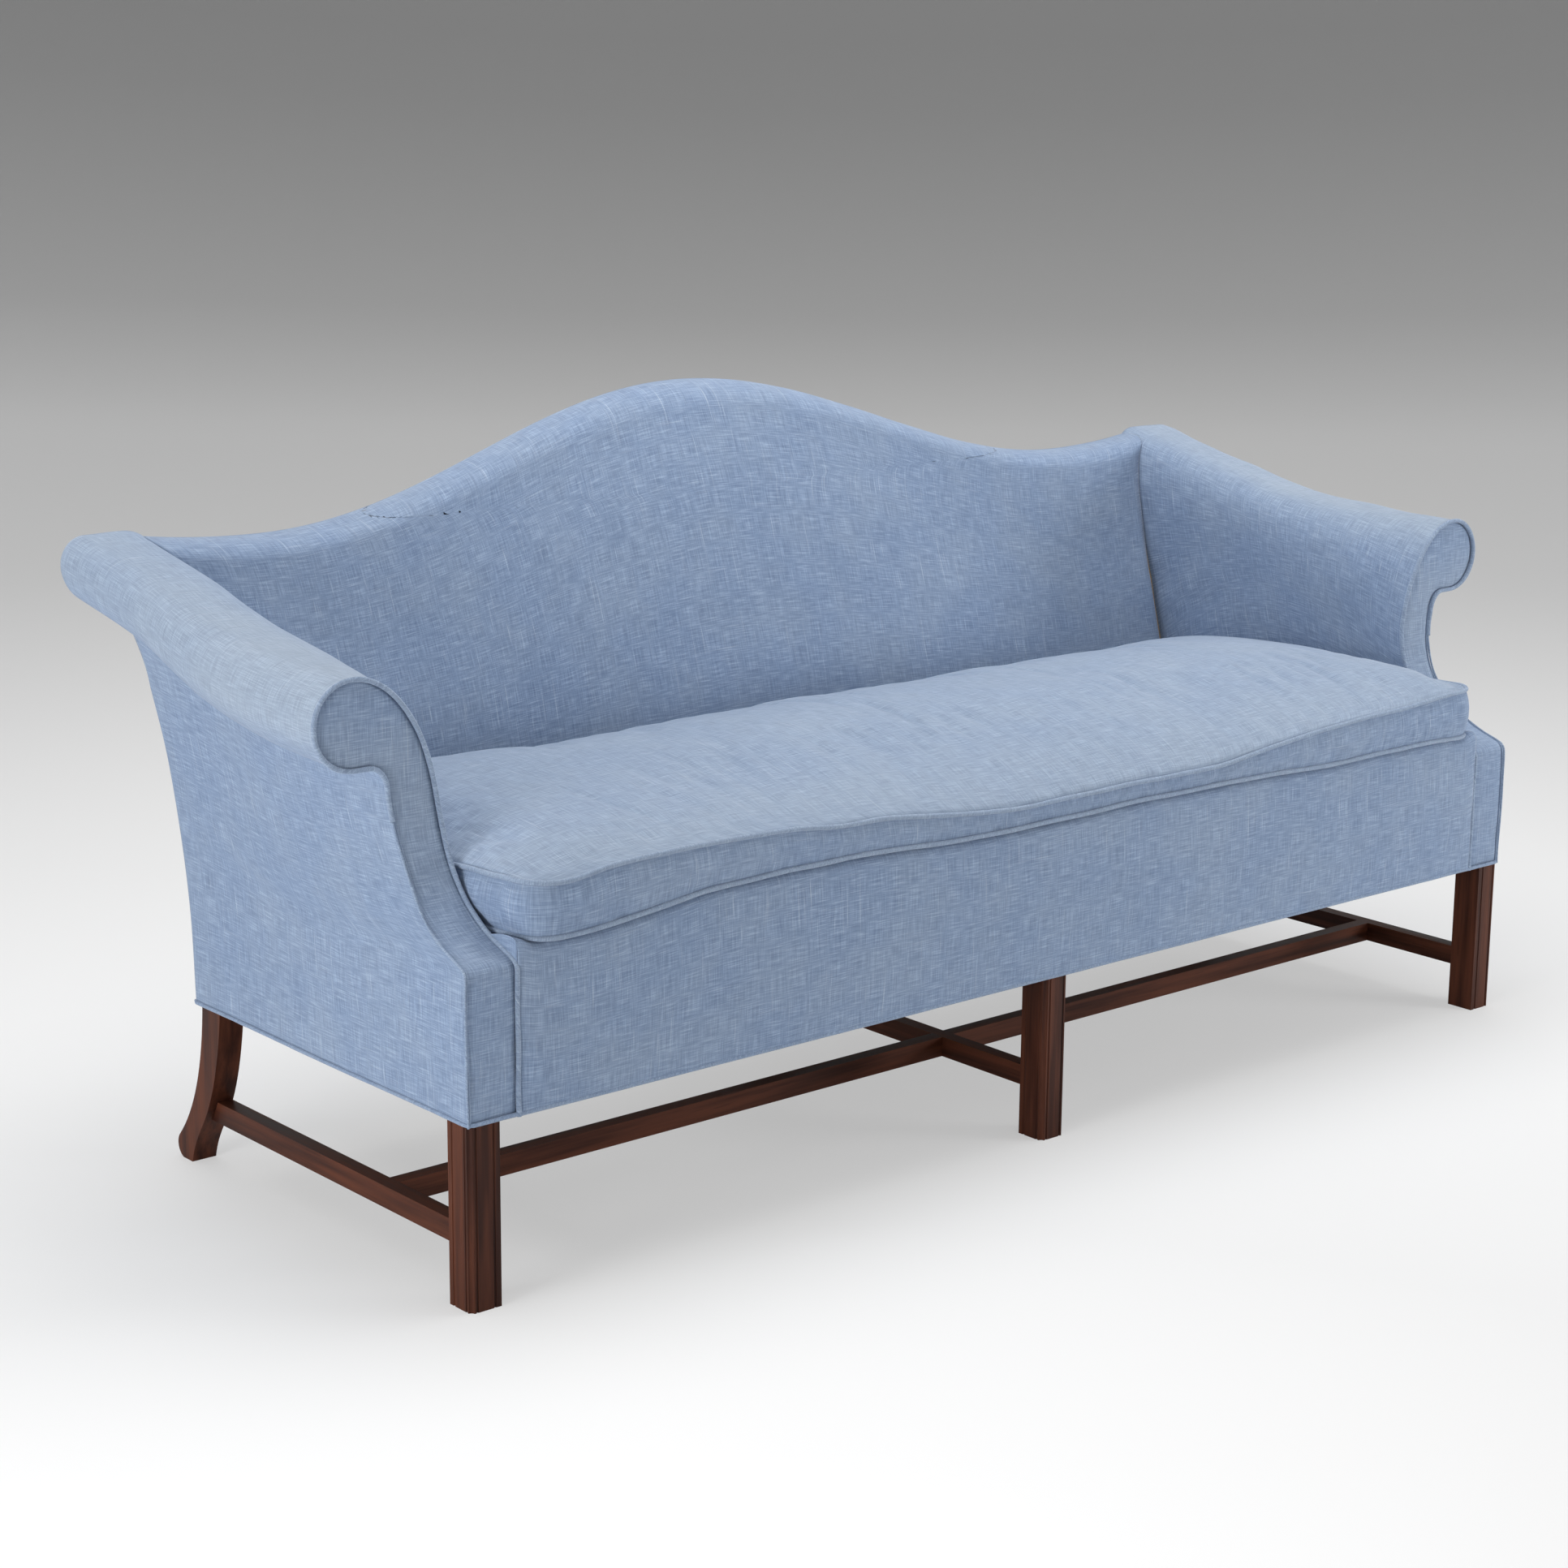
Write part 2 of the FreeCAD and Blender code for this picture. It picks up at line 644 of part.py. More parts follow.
burlap_line = lambda w, d: inside_arm_points(w, d, tuck_z, 50.0, False)
arm_burlap = arm_shell(burlap_line, lambda w: pad_depth(w) + layer_gap,
                       lambda w: pad_depth(w) + layer_gap + burlap_thickness)
arm_burlap = trim(arm_burlap.common(arm_zone), back_outer, arm_post)

lining_depth = cover_thickness + 3.0
outside_arm_cover = trim(arm_shell(outside_arm_points, fixed(0.0), cover_at).common(arm_zone))
outside_arm_lining = arm_shell(outside_arm_points, cover_at, fixed(lining_depth))
outside_arm_lining = trim(outside_arm_lining.common(behind_front(post_front, cover_thickness)))

top_rail_x = (952.0, 921.0)
top_rail_out = (25.0, 14.0)
top_rail_half = (12.0, 10.0)


def top_rail_section(y, w):
    x_roll, z_roll, r = roll_at(w)
    x0, x1 = mix(*top_rail_x, w), x_roll + mix(*top_rail_out, w)
    half = mix(*top_rail_half, w)
    return polygon([V(x0, y, z_roll - half), V(x1, y, z_roll - half),
                    V(x1, y, z_roll + half), V(x0, y, z_roll + half)])


arm_top_rail = arm_loft(top_rail_section).common(behind_front(post_front + post_depth - 2, frame_offset))
arm_top_rail = trim(arm_top_rail, arm_post, crest_rail, end_back_leg, back_pad, inside_back_cover,
                    inside_arm_pad, arm_burlap, outside_arm_lining)
arm_tuck_rail = box(side_rail_x + 1.5, side_rail_outer, bend_radius, reach, *tuck_rail_z)
arm_tuck_rail = trim(arm_tuck_rail.common(behind_front(post_front, frame_front)), arm_post, end_back_leg)
for rail in (arm_tuck_rail, mirrored(arm_tuck_rail)):
    back_pad = back_pad.cut(rail)
    inside_back_cover = inside_back_cover.cut(rail)

# Outside back: one panel of cloth across the back and both arm ends, over a thin lining
arm_ends = arm_loft(lambda y, w: solid_section(y, w, 0.0, hem_height)).common(back_layer(0, cover_thickness))
middle_panel = front_block(back_outline(cover_thickness, crest_half, hem_height))
middle_panel = middle_panel.common(back_layer(0, cover_thickness))
arm_ends = arm_ends.cut(back_outer)
outside_back_cover = middle_panel.fuse([arm_ends, mirrored(arm_ends)]).removeSplitter()
lining_back = front_block(back_outline(crest_rail_drop, back_post_x[1] - 4, hem_height + hem_welt_size))
outside_back_lining = lining_back.common(back_layer(cover_thickness, 2 * cover_thickness))

webbing_z = (tuck_rail_z[0], crest_rail_bottom + 20)
strip_pitch = 2 * (back_rail_x - webbing_width) / (webbing_count - 1)
strips = []
for k in range(webbing_count):
    x = -back_rail_x + webbing_width + k * strip_pitch
    strips.append(slice_x(back_layer(frame_front, frame_front + webbing_thickness, *webbing_z),
                          x - webbing_width / 2, x + webbing_width / 2))
for z in (500.0, 600.0):
    strips.append(slice_x(back_layer(frame_front + webbing_thickness, webbing_front, z, z + webbing_width),
                          -back_post_x[1] + 6, back_post_x[1] - 6))
back_burlap = front_block(back_outline(crest_rail_drop + 6, back_rail_x, tuck_z))
back_burlap = back_burlap.common(back_layer(webbing_front, burlap_front))

# Front border, hem and dust cover
border_half = arm_inner_x - facing_welt_size - 3 * layer_gap
border_padding_top = deck_height - 2 * cover_thickness
front_border = box(-border_half, border_half, 0, cover_thickness, hem_height, deck_height)
front_border_padding = box(-border_half, border_half, cover_thickness, front_rail_y,
                           hem_height + hem_welt_size, border_padding_top)
front_border_padding = trim(front_border_padding, middle_front_leg)


def hem_outline(grow, corner=10.0):
    x, y0, y1 = body_half + grow, -grow, back_y(hem_height) + grow
    r = corner + grow
    flat = box(-x, x, y0, y1, hem_height, hem_height + hem_welt_size)
    upright = [edge for edge in flat.Edges if abs(edge.tangentAt(edge.FirstParameter).z) > 0.9]
    return flat.makeFillet(r, upright)


hem_welt = hem_outline(hem_welt_size).cut(hem_outline(0.0).fuse(facing_solid.common(front_sheet(0, 60))))
hem_welt = trim(hem_welt, outside_back_cover, outside_arm_cover, mirrored(outside_arm_cover),
                mirrored(facing_solid.common(front_sheet(0, 60))))
dust_edge = 12.0
dust_cover = box(-side_rail_outer, side_rail_outer, dust_edge, hem_front + 6, rail_bottom - 1, rail_bottom)
for leg in (end_leg, mirrored(end_leg), middle_front_leg, end_back_leg, mirrored(end_back_leg), middle_back_leg):
    dust_cover = dust_cover.cut(leg)


# Springs, clips and tie wires
def spring(x, z):
    """One sinuous spring, front to back, as a single bent wire."""
    edges = []
    straight = spring_half_width - spring_bend
    for row in range(spring_rows):
        y = spring_start_y + 2 * spring_bend * row
        way = 1 if row % 2 == 0 else -1
        start, end = V(x - way * straight, y, z), V(x + way * straight, y, z)
        edges.append(Part.makeLine(start, end))
        if row < spring_rows - 1:
            middle = V(x + way * (straight + spring_bend), y + spring_bend, z)
            edges.append(Part.Arc(end, middle, end + V(0, 2 * spring_bend, 0)).toShape())
    path = Part.Wire(edges)
    ring = Part.Wire(Part.makeCircle(spring_wire, edges[0].Vertexes[0].Point, X_AXIS))
    return path.makePipeShell([ring], True, False)


spring_z = rail_top + clip_sheet + 0.2 + spring_wire
spring_xs = [(k - (spring_count - 1) / 2) * spring_spacing for k in range(spring_count)]
spring_end_y = spring_start_y + 2 * spring_bend * (spring_rows - 1)
springs = [spring(x, spring_z) for x in spring_xs]


def spring_clip(x, y, open_side):
    """Folded strip, nailed to the rail, that holds the end wire of a spring."""
    half, deep = clip_width / 2, 2 * spring_wire + 4.0
    tall = 2 * spring_wire + 2 * clip_sheet + 0.4
    outer = box(x - half, x + half, y - deep / 2, y + deep / 2, rail_top, rail_top + tall)
    slot = box(x - reach, x + reach, y - deep / 2 + clip_sheet, y + deep, rail_top + clip_sheet,
               rail_top + tall - clip_sheet)
    if open_side < 0:
        slot.translate(V(0, -(deep / 2 + clip_sheet), 0))
    return outer.cut(slot)


clips = [spring_clip(x, y, way) for x in spring_xs for y, way in ((spring_start_y, 1), (spring_end_y, -1))]
tie_z = spring_z + spring_wire + tie_wire
tie_half = spring_xs[-1] + spring_half_width
ties = [Part.makeCylinder(tie_wire, 2 * tie_half, V(-tie_half, y, tie_z), X_AXIS) for y in tie_wire_y]

# Deck
deck_low = tie_z + tie_wire
deck_back = inside_y(tuck_z) - 4.0


def deck_top(y, depth=0.0):
    return deck_height - depth - pitch * (y - cover_thickness)


deck_burlap = box(-deck_half, deck_half, front_rail_y, deck_back, deck_low, deck_low + burlap_thickness)
pad_low = deck_low + burlap_thickness
deck_pad = side_polygon([(front_rail_y, pad_low), (deck_back, pad_low), (deck_back, deck_top(deck_back, cover_thickness)),
                         (front_rail_y, deck_top(front_rail_y, cover_thickness))], deck_half)
deck_cover = side_polygon([(cover_thickness, deck_top(cover_thickness, cover_thickness)),
                           (deck_back, deck_top(deck_back, cover_thickness)),
                           (deck_back, deck_top(deck_back)), (cover_thickness, deck_top(cover_thickness))], deck_half)


# Seat cushion
def cushion_outline(inset, z):
    """Plan of the cushion: a straight back, and sides that draw in between rounded corners."""
    x1, y0, y1 = cushion_half - inset, inset, cushion_depth - inset
    r = max(cushion_corner - inset, 6.0)
    draw = cushion_draw_in
    corners = []
    for cx, cy, start in ((x1 - r, y0 + r, -90), (x1 - r, y1 - r, 0), (-x1 + r, y1 - r, 90), (-x1 + r, y0 + r, 180)):
        arc = [V(cx + r * math.cos(math.radians(a)), cy + r * math.sin(math.radians(a)), z)
               for a in (start, start + 45, start + 90)]
        corners.append(arc)
    middle_y = (y0 + y1) / 2
    middles = [V(x1 - draw, middle_y, z), None, V(-x1 + draw, middle_y, z), V(0, y0 + draw, z)]
    edges = []
    for k in range(4):
        end, start = corners[k][2], corners[(k + 1) % 4][0]
        edges.append(Part.Arc(*corners[k]).toShape())
        edges.append(Part.Arc(end, middles[k], start).toShape() if middles[k] else Part.makeLine(end, start))
    return Part.Wire(edges)


seam_low = crown_bottom
seam_high = crown_bottom + boxing_height + welt_size
zip_z = (seam_low + welt_size + seam_high) / 2
crown_steps = ((6.0, 0.14), (24.0, 0.36), (60.0, 0.62), (120.0, 0.86), (200.0, 1.0))


def cushion_stack(shrink):
    """Sections from the flat underside up to the crown, shrunk for the inner faces."""
    rows = [(60.0, shrink), (8.0, crown_bottom * 0.45 + shrink), (0.0, seam_low), (0.0, seam_low + welt_size)]
    rows += [(-boxing_bulge, zip_z - zip_tape_width / 2), (-boxing_bulge, zip_z + zip_tape_width / 2)]
    rows += [(0.0, seam_high), (0.0, seam_high + welt_size)]
    rows += [(inset, seam_high + welt_size + crown_top * rise - shrink) for inset, rise in crown_steps]
    return Part.makeLoft([cushion_outline(inset + shrink, z) for inset, z in rows], True, True)


def welt_loop(z):
    outer = Part.Face(cushion_outline(-welt_size, z))
    inner = Part.Face(cushion_outline(0.0, z))
    return outer.cut(inner).extrude(V(0, 0, welt_size))


cushion_solid = cushion_stack(0.0)
cushion_core = cushion_stack(cover_thickness)
cushion_cover = cushion_solid.cut(cushion_core)
cushion_welts = [welt_loop(seam_low), welt_loop(seam_high)]
zip_y = cushion_depth + boxing_bulge
zip_tape = box(-zip_half, zip_half, zip_y, zip_y + zip_tape_thickness, zip_z - zip_tape_width / 2,
               zip_z + zip_tape_width / 2)
zip_chain = box(-zip_half + 6, zip_half - 6, zip_y + zip_tape_thickness,
                zip_y + zip_tape_thickness + zip_chain_height, zip_z - zip_chain_width / 2, zip_z + zip_chain_width / 2)
zip_tape = zip_tape.fuse(zip_chain)
slider_x = -zip_half + slider_inset
chain_out = zip_y + zip_tape_thickness + zip_chain_height
slider_half = zip_chain_width / 2 + zip_clearance + slider_wall
zip_slider = box(slider_x - slider_length / 2, slider_x + slider_length / 2, zip_y + zip_tape_thickness + zip_clearance,
                 chain_out + zip_clearance + slider_wall, zip_z - slider_half, zip_z + slider_half)
slider_channel = box(slider_x - reach, slider_x + reach, zip_y - 1, chain_out + zip_clearance,
                     zip_z - zip_chain_width / 2 - zip_clearance, zip_z + zip_chain_width / 2 + zip_clearance)
zip_slider = zip_slider.cut(slider_channel)

cushion_lift = deck_top(cushion_front) + rest_gap
cushion_nodes = {"cushion_core": cushion_core, "cushion_cover": cushion_cover, "cushion_welts": group(cushion_welts),
                 "cushion_zip": zip_tape, "zip_slider": zip_slider}
for name, shape in cushion_nodes.items():
    shape.rotate(V(0, 0, 0), X_AXIS, -seat_pitch)
    shape.translate(V(0, cushion_front, cushion_lift))
    nodes[name] = shape

# Names
both_sides("front_leg", end_leg)
nodes["front_leg_middle"] = middle_front_leg
both_sides("back_leg", end_back_leg)
nodes["back_leg_middle"] = middle_back_leg
both_sides("side_stretcher", side_stretcher)
nodes["middle_stretcher"] = middle_stretcher
both_sides("long_stretcher", long_stretcher)
nodes["front_rail"] = front_rail
nodes["back_rail"] = back_rail
both_sides("side_rail", side_rail)
nodes["seat_brace"] = seat_brace
nodes["corner_blocks"] = group(blocks)
nodes["crest_rail"] = crest_rail
nodes["back_tuck_rail"] = tuck_rail
nodes["back_stiles"] = group([stile, mirrored(stile)])
both_sides("arm_post", arm_post)
nodes["arm_top_rails"] = group([arm_top_rail, mirrored(arm_top_rail)])
nodes["arm_tuck_rails"] = group([arm_tuck_rail, mirrored(arm_tuck_rail)])
nodes["seat_springs"] = group(springs)
nodes["spring_clips"] = group(clips)
nodes["spring_tie_wires"] = group(ties)
nodes["deck_burlap"] = deck_burlap
nodes["deck_pad"] = deck_pad
nodes["deck_cover"] = deck_cover
nodes["back_webbing"] = group(strips)
nodes["back_burlap"] = back_burlap
nodes["inside_back_pad"] = back_pad
nodes["inside_back_cover"] = inside_back_cover
nodes["outside_back_lining"] = outside_back_lining
nodes["outside_back_cover"] = outside_back_cover
nodes["arm_burlaps"] = group([arm_burlap, mirrored(arm_burlap)])
nodes["inside_arm_pads"] = group([inside_arm_pad, mirrored(inside_arm_pad)])
both_sides("inside_arm_cover", inside_arm_cover)
nodes["outside_arm_linings"] = group([outside_arm_lining, mirrored(outside_arm_lining)])
both_sides("outside_arm_cover", outside_arm_cover)
both_sides("arm_facing", facing)
nodes["arm_facing_pads"] = group([facing_padding, mirrored(facing_padding)])
both_sides("facing_welt", facing_welt)
nodes["front_border"] = front_border
nodes["front_border_padding"] = front_border_padding
nodes["hem_welt"] = hem_welt
nodes["dust_cover"] = dust_cover

# Screws take their holes out of everything they pass through
for name in ("front_rail", "back_rail", "side_rail_left", "side_rail_right", "front_leg_left", "front_leg_right",
             "front_leg_middle", "back_leg_left", "back_leg_right", "back_leg_middle"):
    nodes[name] = nodes[name].cut(all_screws)
nodes["frame_screws"] = all_screws

# Move the origin to the middle of the footprint and write one file for each node
whole = Part.makeCompound(list(nodes.values())).BoundBox
shift = V(0, -(whole.YMin + whole.YMax) / 2, 0)
os.makedirs("parts", exist_ok=True)
for name, shape in sorted(nodes.items()):
    shape.translate(shift)
    shape.exportStep("parts/" + name + ".step")
    print("%-24s solids %3d valid %s volume %.0f" % (name, len(shape.Solids), shape.isValid(), shape.Volume))
print("nodes", len(nodes), "size %.0f x %.0f x %.0f" % (whole.XLength, whole.YLength, whole.ZLength), "shift", shift.y)
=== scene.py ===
# %% [markdown]
# # A camelback sofa, dressed in Blender
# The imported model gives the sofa's bones at their real size. This lesson puts the cloth, the piping and the
# polished legs round them. Everything is in metres, and the frame says where each piece goes.

# %% Load the frame
import json
import math

import bpy
import numpy as np
from mathutils import Matrix, Vector
from mathutils.geometry import delaunay_2d_cdt


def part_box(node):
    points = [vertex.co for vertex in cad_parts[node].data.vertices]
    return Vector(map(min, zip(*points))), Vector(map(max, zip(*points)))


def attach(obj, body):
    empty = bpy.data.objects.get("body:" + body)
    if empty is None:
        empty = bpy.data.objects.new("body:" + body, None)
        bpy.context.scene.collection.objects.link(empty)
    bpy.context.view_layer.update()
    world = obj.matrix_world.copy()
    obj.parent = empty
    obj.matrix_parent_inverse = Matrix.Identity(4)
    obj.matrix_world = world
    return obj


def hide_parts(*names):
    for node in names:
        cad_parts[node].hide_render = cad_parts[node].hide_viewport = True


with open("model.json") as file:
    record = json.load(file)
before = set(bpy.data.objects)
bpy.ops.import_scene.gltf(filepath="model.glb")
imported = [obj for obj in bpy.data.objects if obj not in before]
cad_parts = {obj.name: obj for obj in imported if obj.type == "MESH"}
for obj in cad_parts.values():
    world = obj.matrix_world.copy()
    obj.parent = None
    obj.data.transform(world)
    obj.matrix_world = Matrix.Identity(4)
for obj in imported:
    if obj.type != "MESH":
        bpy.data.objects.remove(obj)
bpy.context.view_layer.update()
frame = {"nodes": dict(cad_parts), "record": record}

nodes = frame["nodes"]

# %% [markdown]
# The upholstery is worked out from a few sizes of the frame. Every depth is counted from the front of the
# front legs, so the helper `at` only has to add that one distance to get back to the frame's own origin.

# %% Sizes taken from the frame
front_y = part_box("front_leg_middle")[0].y
half_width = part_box("front_leg_right")[1].x
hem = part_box("outside_back_cover")[0].z
crest_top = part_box("inside_back_cover")[1].z
arm_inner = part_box("front_border")[1].x + 0.0049
deck_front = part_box("front_border")[1].z
body_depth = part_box("outside_back_cover")[0].y - front_y
lean = math.tan(math.radians(15.5))
print("half width", round(half_width, 4), "hem", round(hem, 4), "crest", round(crest_top, 4))


def at(x, depth, z):
    """Points from x, the depth behind the front legs, and the height."""
    x, depth, z = np.broadcast_arrays(x, depth, z)
    return np.stack([x, depth + front_y, z], axis=-1)


def mix(a, b, w):
    """From a to b as w goes from 0 to 1."""
    return a + (b - a) * w


def smooth(t):
    """A soft step from 0 to 1."""
    t = np.clip(t, 0.0, 1.0)
    return t * t * (3 - 2 * t)


def ripple(p, size, seed, count=7):
    """Smooth random waves of about one size, between -1 and 1, the same on every run."""
    rng = np.random.default_rng(seed)
    p = np.asarray(p, float)
    total = np.zeros(p.shape[:-1])
    for _ in range(count):
        way = rng.normal(size=p.shape[-1])
        way *= rng.uniform(0.7, 1.5) / np.linalg.norm(way)
        total += np.sin(2 * math.pi * (p @ way) / size + rng.uniform(0, 2 * math.pi))
    return total / math.sqrt(count) / 1.4


# %% [markdown]
# Cloth is a skin, so most pieces here are a grid of points with a little thickness. The weave has to run
# with the threads of each panel and not with the room, so every grid also carries two measures in metres,
# along and across the panel. The material reads them from an attribute that stays with the mesh.

# %% Making a cloth skin
cloth_thickness = 0.0016


def add_attribute(mesh, name, values):
    """Store one number or a few numbers for each point."""
    values = np.asarray(values, np.float32)
    if values.ndim == 1:
        mesh.attributes.new(name, "FLOAT", "POINT").data.foreach_set("value", values)
    else:
        full = np.zeros((len(values), 3), np.float32)
        full[:, :values.shape[1]] = values
        mesh.attributes.new(name, "FLOAT_VECTOR", "POINT").data.foreach_set("vector", full.ravel())


def make_piece(name, points, faces, cloth, wear_and_sheen=None, thickness=cloth_thickness):
    """An object with the weave's measures, the wear and painted sheen on its points, and a cloth's thickness.
    """
    name = name.replace(" ", "_")
    mesh = bpy.data.meshes.new(name)
    points = np.asarray(points, float).reshape(-1, 3)
    mesh.from_pydata([tuple(p) for p in points], [], faces)
    mesh.validate()
    add_attribute(mesh, "cloth", np.asarray(cloth, float).reshape(len(points), -1))
    add_attribute(mesh, "wear_and_sheen", np.zeros(len(points)) if wear_and_sheen is None else np.asarray(wear_and_sheen, float).ravel())
    mesh.polygons.foreach_set("use_smooth", [True] * len(mesh.polygons))
    piece = bpy.data.objects.new(name, mesh)
    bpy.context.scene.collection.objects.link(piece)
    if thickness:
        skin = piece.modifiers.new("thickness", "SOLIDIFY")
        skin.thickness = thickness
        skin.offset = -1.0
        skin.use_even_offset = False
    return piece


def grid_faces(rows, columns, flip=False, close_rows=False, close_columns=False):
    """Four-sided faces between the points of a grid, which can close on itself."""
    faces = []
    for i in range(rows if close_rows else rows - 1):
        for j in range(columns if close_columns else columns - 1):
            i2, j2 = (i + 1) % rows, (j + 1) % columns
            face = (i * columns + j, i2 * columns + j, i2 * columns + j2, i * columns + j2)
            faces.append(face[::-1] if flip else face)
    return faces


def run_length(points, axis):
    """Distance travelled along one direction of a grid, for laying the weave."""
    steps = np.linalg.norm(np.diff(points, axis=axis), axis=-1)
    start = np.zeros_like(np.take(steps, [0], axis=axis))
    return np.concatenate([start, np.cumsum(steps, axis=axis)], axis=axis)


def cloth_grid(name, points, wear_and_sheen=None, flip=False):
    """A skin from a grid of points, with its threads along the grid's rows and columns."""
    rows, columns = points.shape[:2]
    along = run_length(points, 0).mean(axis=1, keepdims=True) * np.ones((1, columns))
    across = run_length(points, 1).mean(axis=0, keepdims=True) * np.ones((rows, 1))
    cloth = np.stack([across, along], axis=-1)
    return make_piece(name, points, grid_faces(rows, columns, flip), cloth, wear_and_sheen)


def dress(piece, body, material, slot, *replaced):
    """Give a piece its finish, its body and the frame's parts that it stands for."""
    piece.data.materials.clear()
    piece.data.materials.append(material)
    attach(piece, body)
    if replaced:
        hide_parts(*replaced)
    return piece


# %% [markdown]
# ## The camera
# The picture was taken from the front left, a little above the arms, with a long lens. Solving the feet and
# the hem for perspective gave this place and turn. It comes first.

# %% Camera
camera_place = (-2.8586, -2.7726, 1.4282)     # the second number is a depth, as for `at`
clip_end = 60
camera_turn, camera_drop, camera_roll = 40.45, -13.03, 0.49
lens_px, image_px = 3835.5, 1932
centre_px = (955.6, 943.0)
sensor_mm = 36.0

camera = bpy.data.objects.new("camera", bpy.data.cameras.new("camera"))
bpy.context.scene.collection.objects.link(camera)
camera.data.sensor_width = sensor_mm
camera.data.lens = lens_px / image_px * sensor_mm
camera.data.shift_x = (image_px / 2 - centre_px[0]) / image_px
camera.data.shift_y = (centre_px[1] - image_px / 2) / image_px
yaw, drop, roll = (math.radians(a) for a in (camera_turn, camera_drop, camera_roll))
ahead = Vector((math.sin(yaw) * math.cos(drop), math.cos(yaw) * math.cos(drop), math.sin(drop)))
right = Vector((math.cos(yaw), -math.sin(yaw), 0))
up = right.cross(ahead)
right, up = right * math.cos(roll) + up * math.sin(roll), up * math.cos(roll) - right * math.sin(roll)
turn = Matrix((right, up, -ahead)).transposed()
camera.matrix_world = Matrix.Translation(Vector(camera_place) + Vector((0, front_y, 0))) @ turn.to_4x4()
camera.data.clip_end = clip_end
bpy.context.scene.camera = camera
print("lens mm", round(camera.data.lens, 1))

# %% [markdown]
# ## Materials
# The cover is a blue linen with a pale weft. Close up it is a plain weave, and from a few steps away what
# shows is its slubs, the thick pale stretches of yarn that run straight down and across the cloth. All of it
# is noise stretched along the threads, a millimetre or two across them and centimetres long down them. A
# picture of cloth would also do, but noise has no seams and needs no file.
# A `wear_and_sheen` value laid on the mesh points greys the linen. On the arm tops, the arm fronts' sloping
# band and the cushion top it is painted sheen and light from above, and on the piping it is wear.

# %% Node helpers
def new_material(name, roughness, **sockets):
    """A material, its node tree and its shader, with some of the shader's sockets set."""
    material = bpy.data.materials.new(name)
    material.use_nodes = True
    shader = material.node_tree.nodes["Principled BSDF"]
    shader.inputs["Roughness"].default_value = roughness
    for key, value in sockets.items():
        shader.inputs[key.replace("_", " ")].default_value = value
    return material, material.node_tree, shader


def add_node(tree, kind, inputs=None, **settings):
    """A node with its settings made and its inputs linked or filled in."""
    node = tree.nodes.new(kind)
    for key, value in settings.items():
        setattr(node, key, value)
    for key, value in (inputs or {}).items():
        if isinstance(value, bpy.types.NodeSocket):
            tree.links.new(value, node.inputs[key])
        else:
            node.inputs[key].default_value = value
    return node


def stretched(tree, coordinates, scale, detail=2.0, seed=0.0, roughness=0.55):
    """Noise whose grains are drawn out, with a scale for each axis in grains per metre."""
    mapped = add_node(tree, "ShaderNodeMapping",
                      {"Vector": coordinates, "Scale": scale, "Location": (seed,) * 3})
    grain = add_node(tree, "ShaderNodeTexNoise", {"Vector": mapped.outputs["Vector"], "Scale": 1.0,
                                                 "Detail": detail, "Roughness": roughness})
    return grain.outputs["Fac"]


def between(tree, value, low, high, to_low=0.0, to_high=1.0, kind="SMOOTHSTEP"):
    """Turn the stretch from low to high of a value into another stretch."""
    stretch = {"Value": value, "From Min": low, "From Max": high, "To Min": to_low, "To Max": to_high}
    node = add_node(tree, "ShaderNodeMapRange", stretch, interpolation_type=kind)
    return node.outputs["Result"]


def sums(tree, operation, a, b):
    """One step of arithmetic between two values."""
    return add_node(tree, "ShaderNodeMath", {0: a, 1: b}, operation=operation).outputs["Value"]


def blend_colours(tree, factor, a, b, blend="MIX"):
    """Mix two colours by a factor, any of them a socket or a fixed value."""
    node = add_node(tree, "ShaderNodeMix", data_type="RGBA", blend_type=blend)
    for key, value in (("Factor", factor), ("A", a), ("B", b)):
        socket = next(s for s in node.inputs if s.name == key and s.enabled)
        if isinstance(value, bpy.types.NodeSocket):
            tree.links.new(value, socket)
        else:
            socket.default_value = value
    return next(s for s in node.outputs if s.enabled)


def add_bump(tree, shader, height, strength, distance):
    """Small relief from a height value, for what is too fine to be in the mesh."""
    bump = add_node(tree, "ShaderNodeBump", {"Height": height, "Strength": strength, "Distance": distance})
    tree.links.new(bump.outputs["Normal"], shader.inputs["Normal"])


# %% Blue linen
linen_deep = (0.165, 0.230, 0.356, 1)
linen_blue = (0.232, 0.309, 0.440, 1)
linen_pale = (0.50, 0.565, 0.66, 1)
linen_faded_and_sheen = (0.338, 0.393, 0.452, 1)


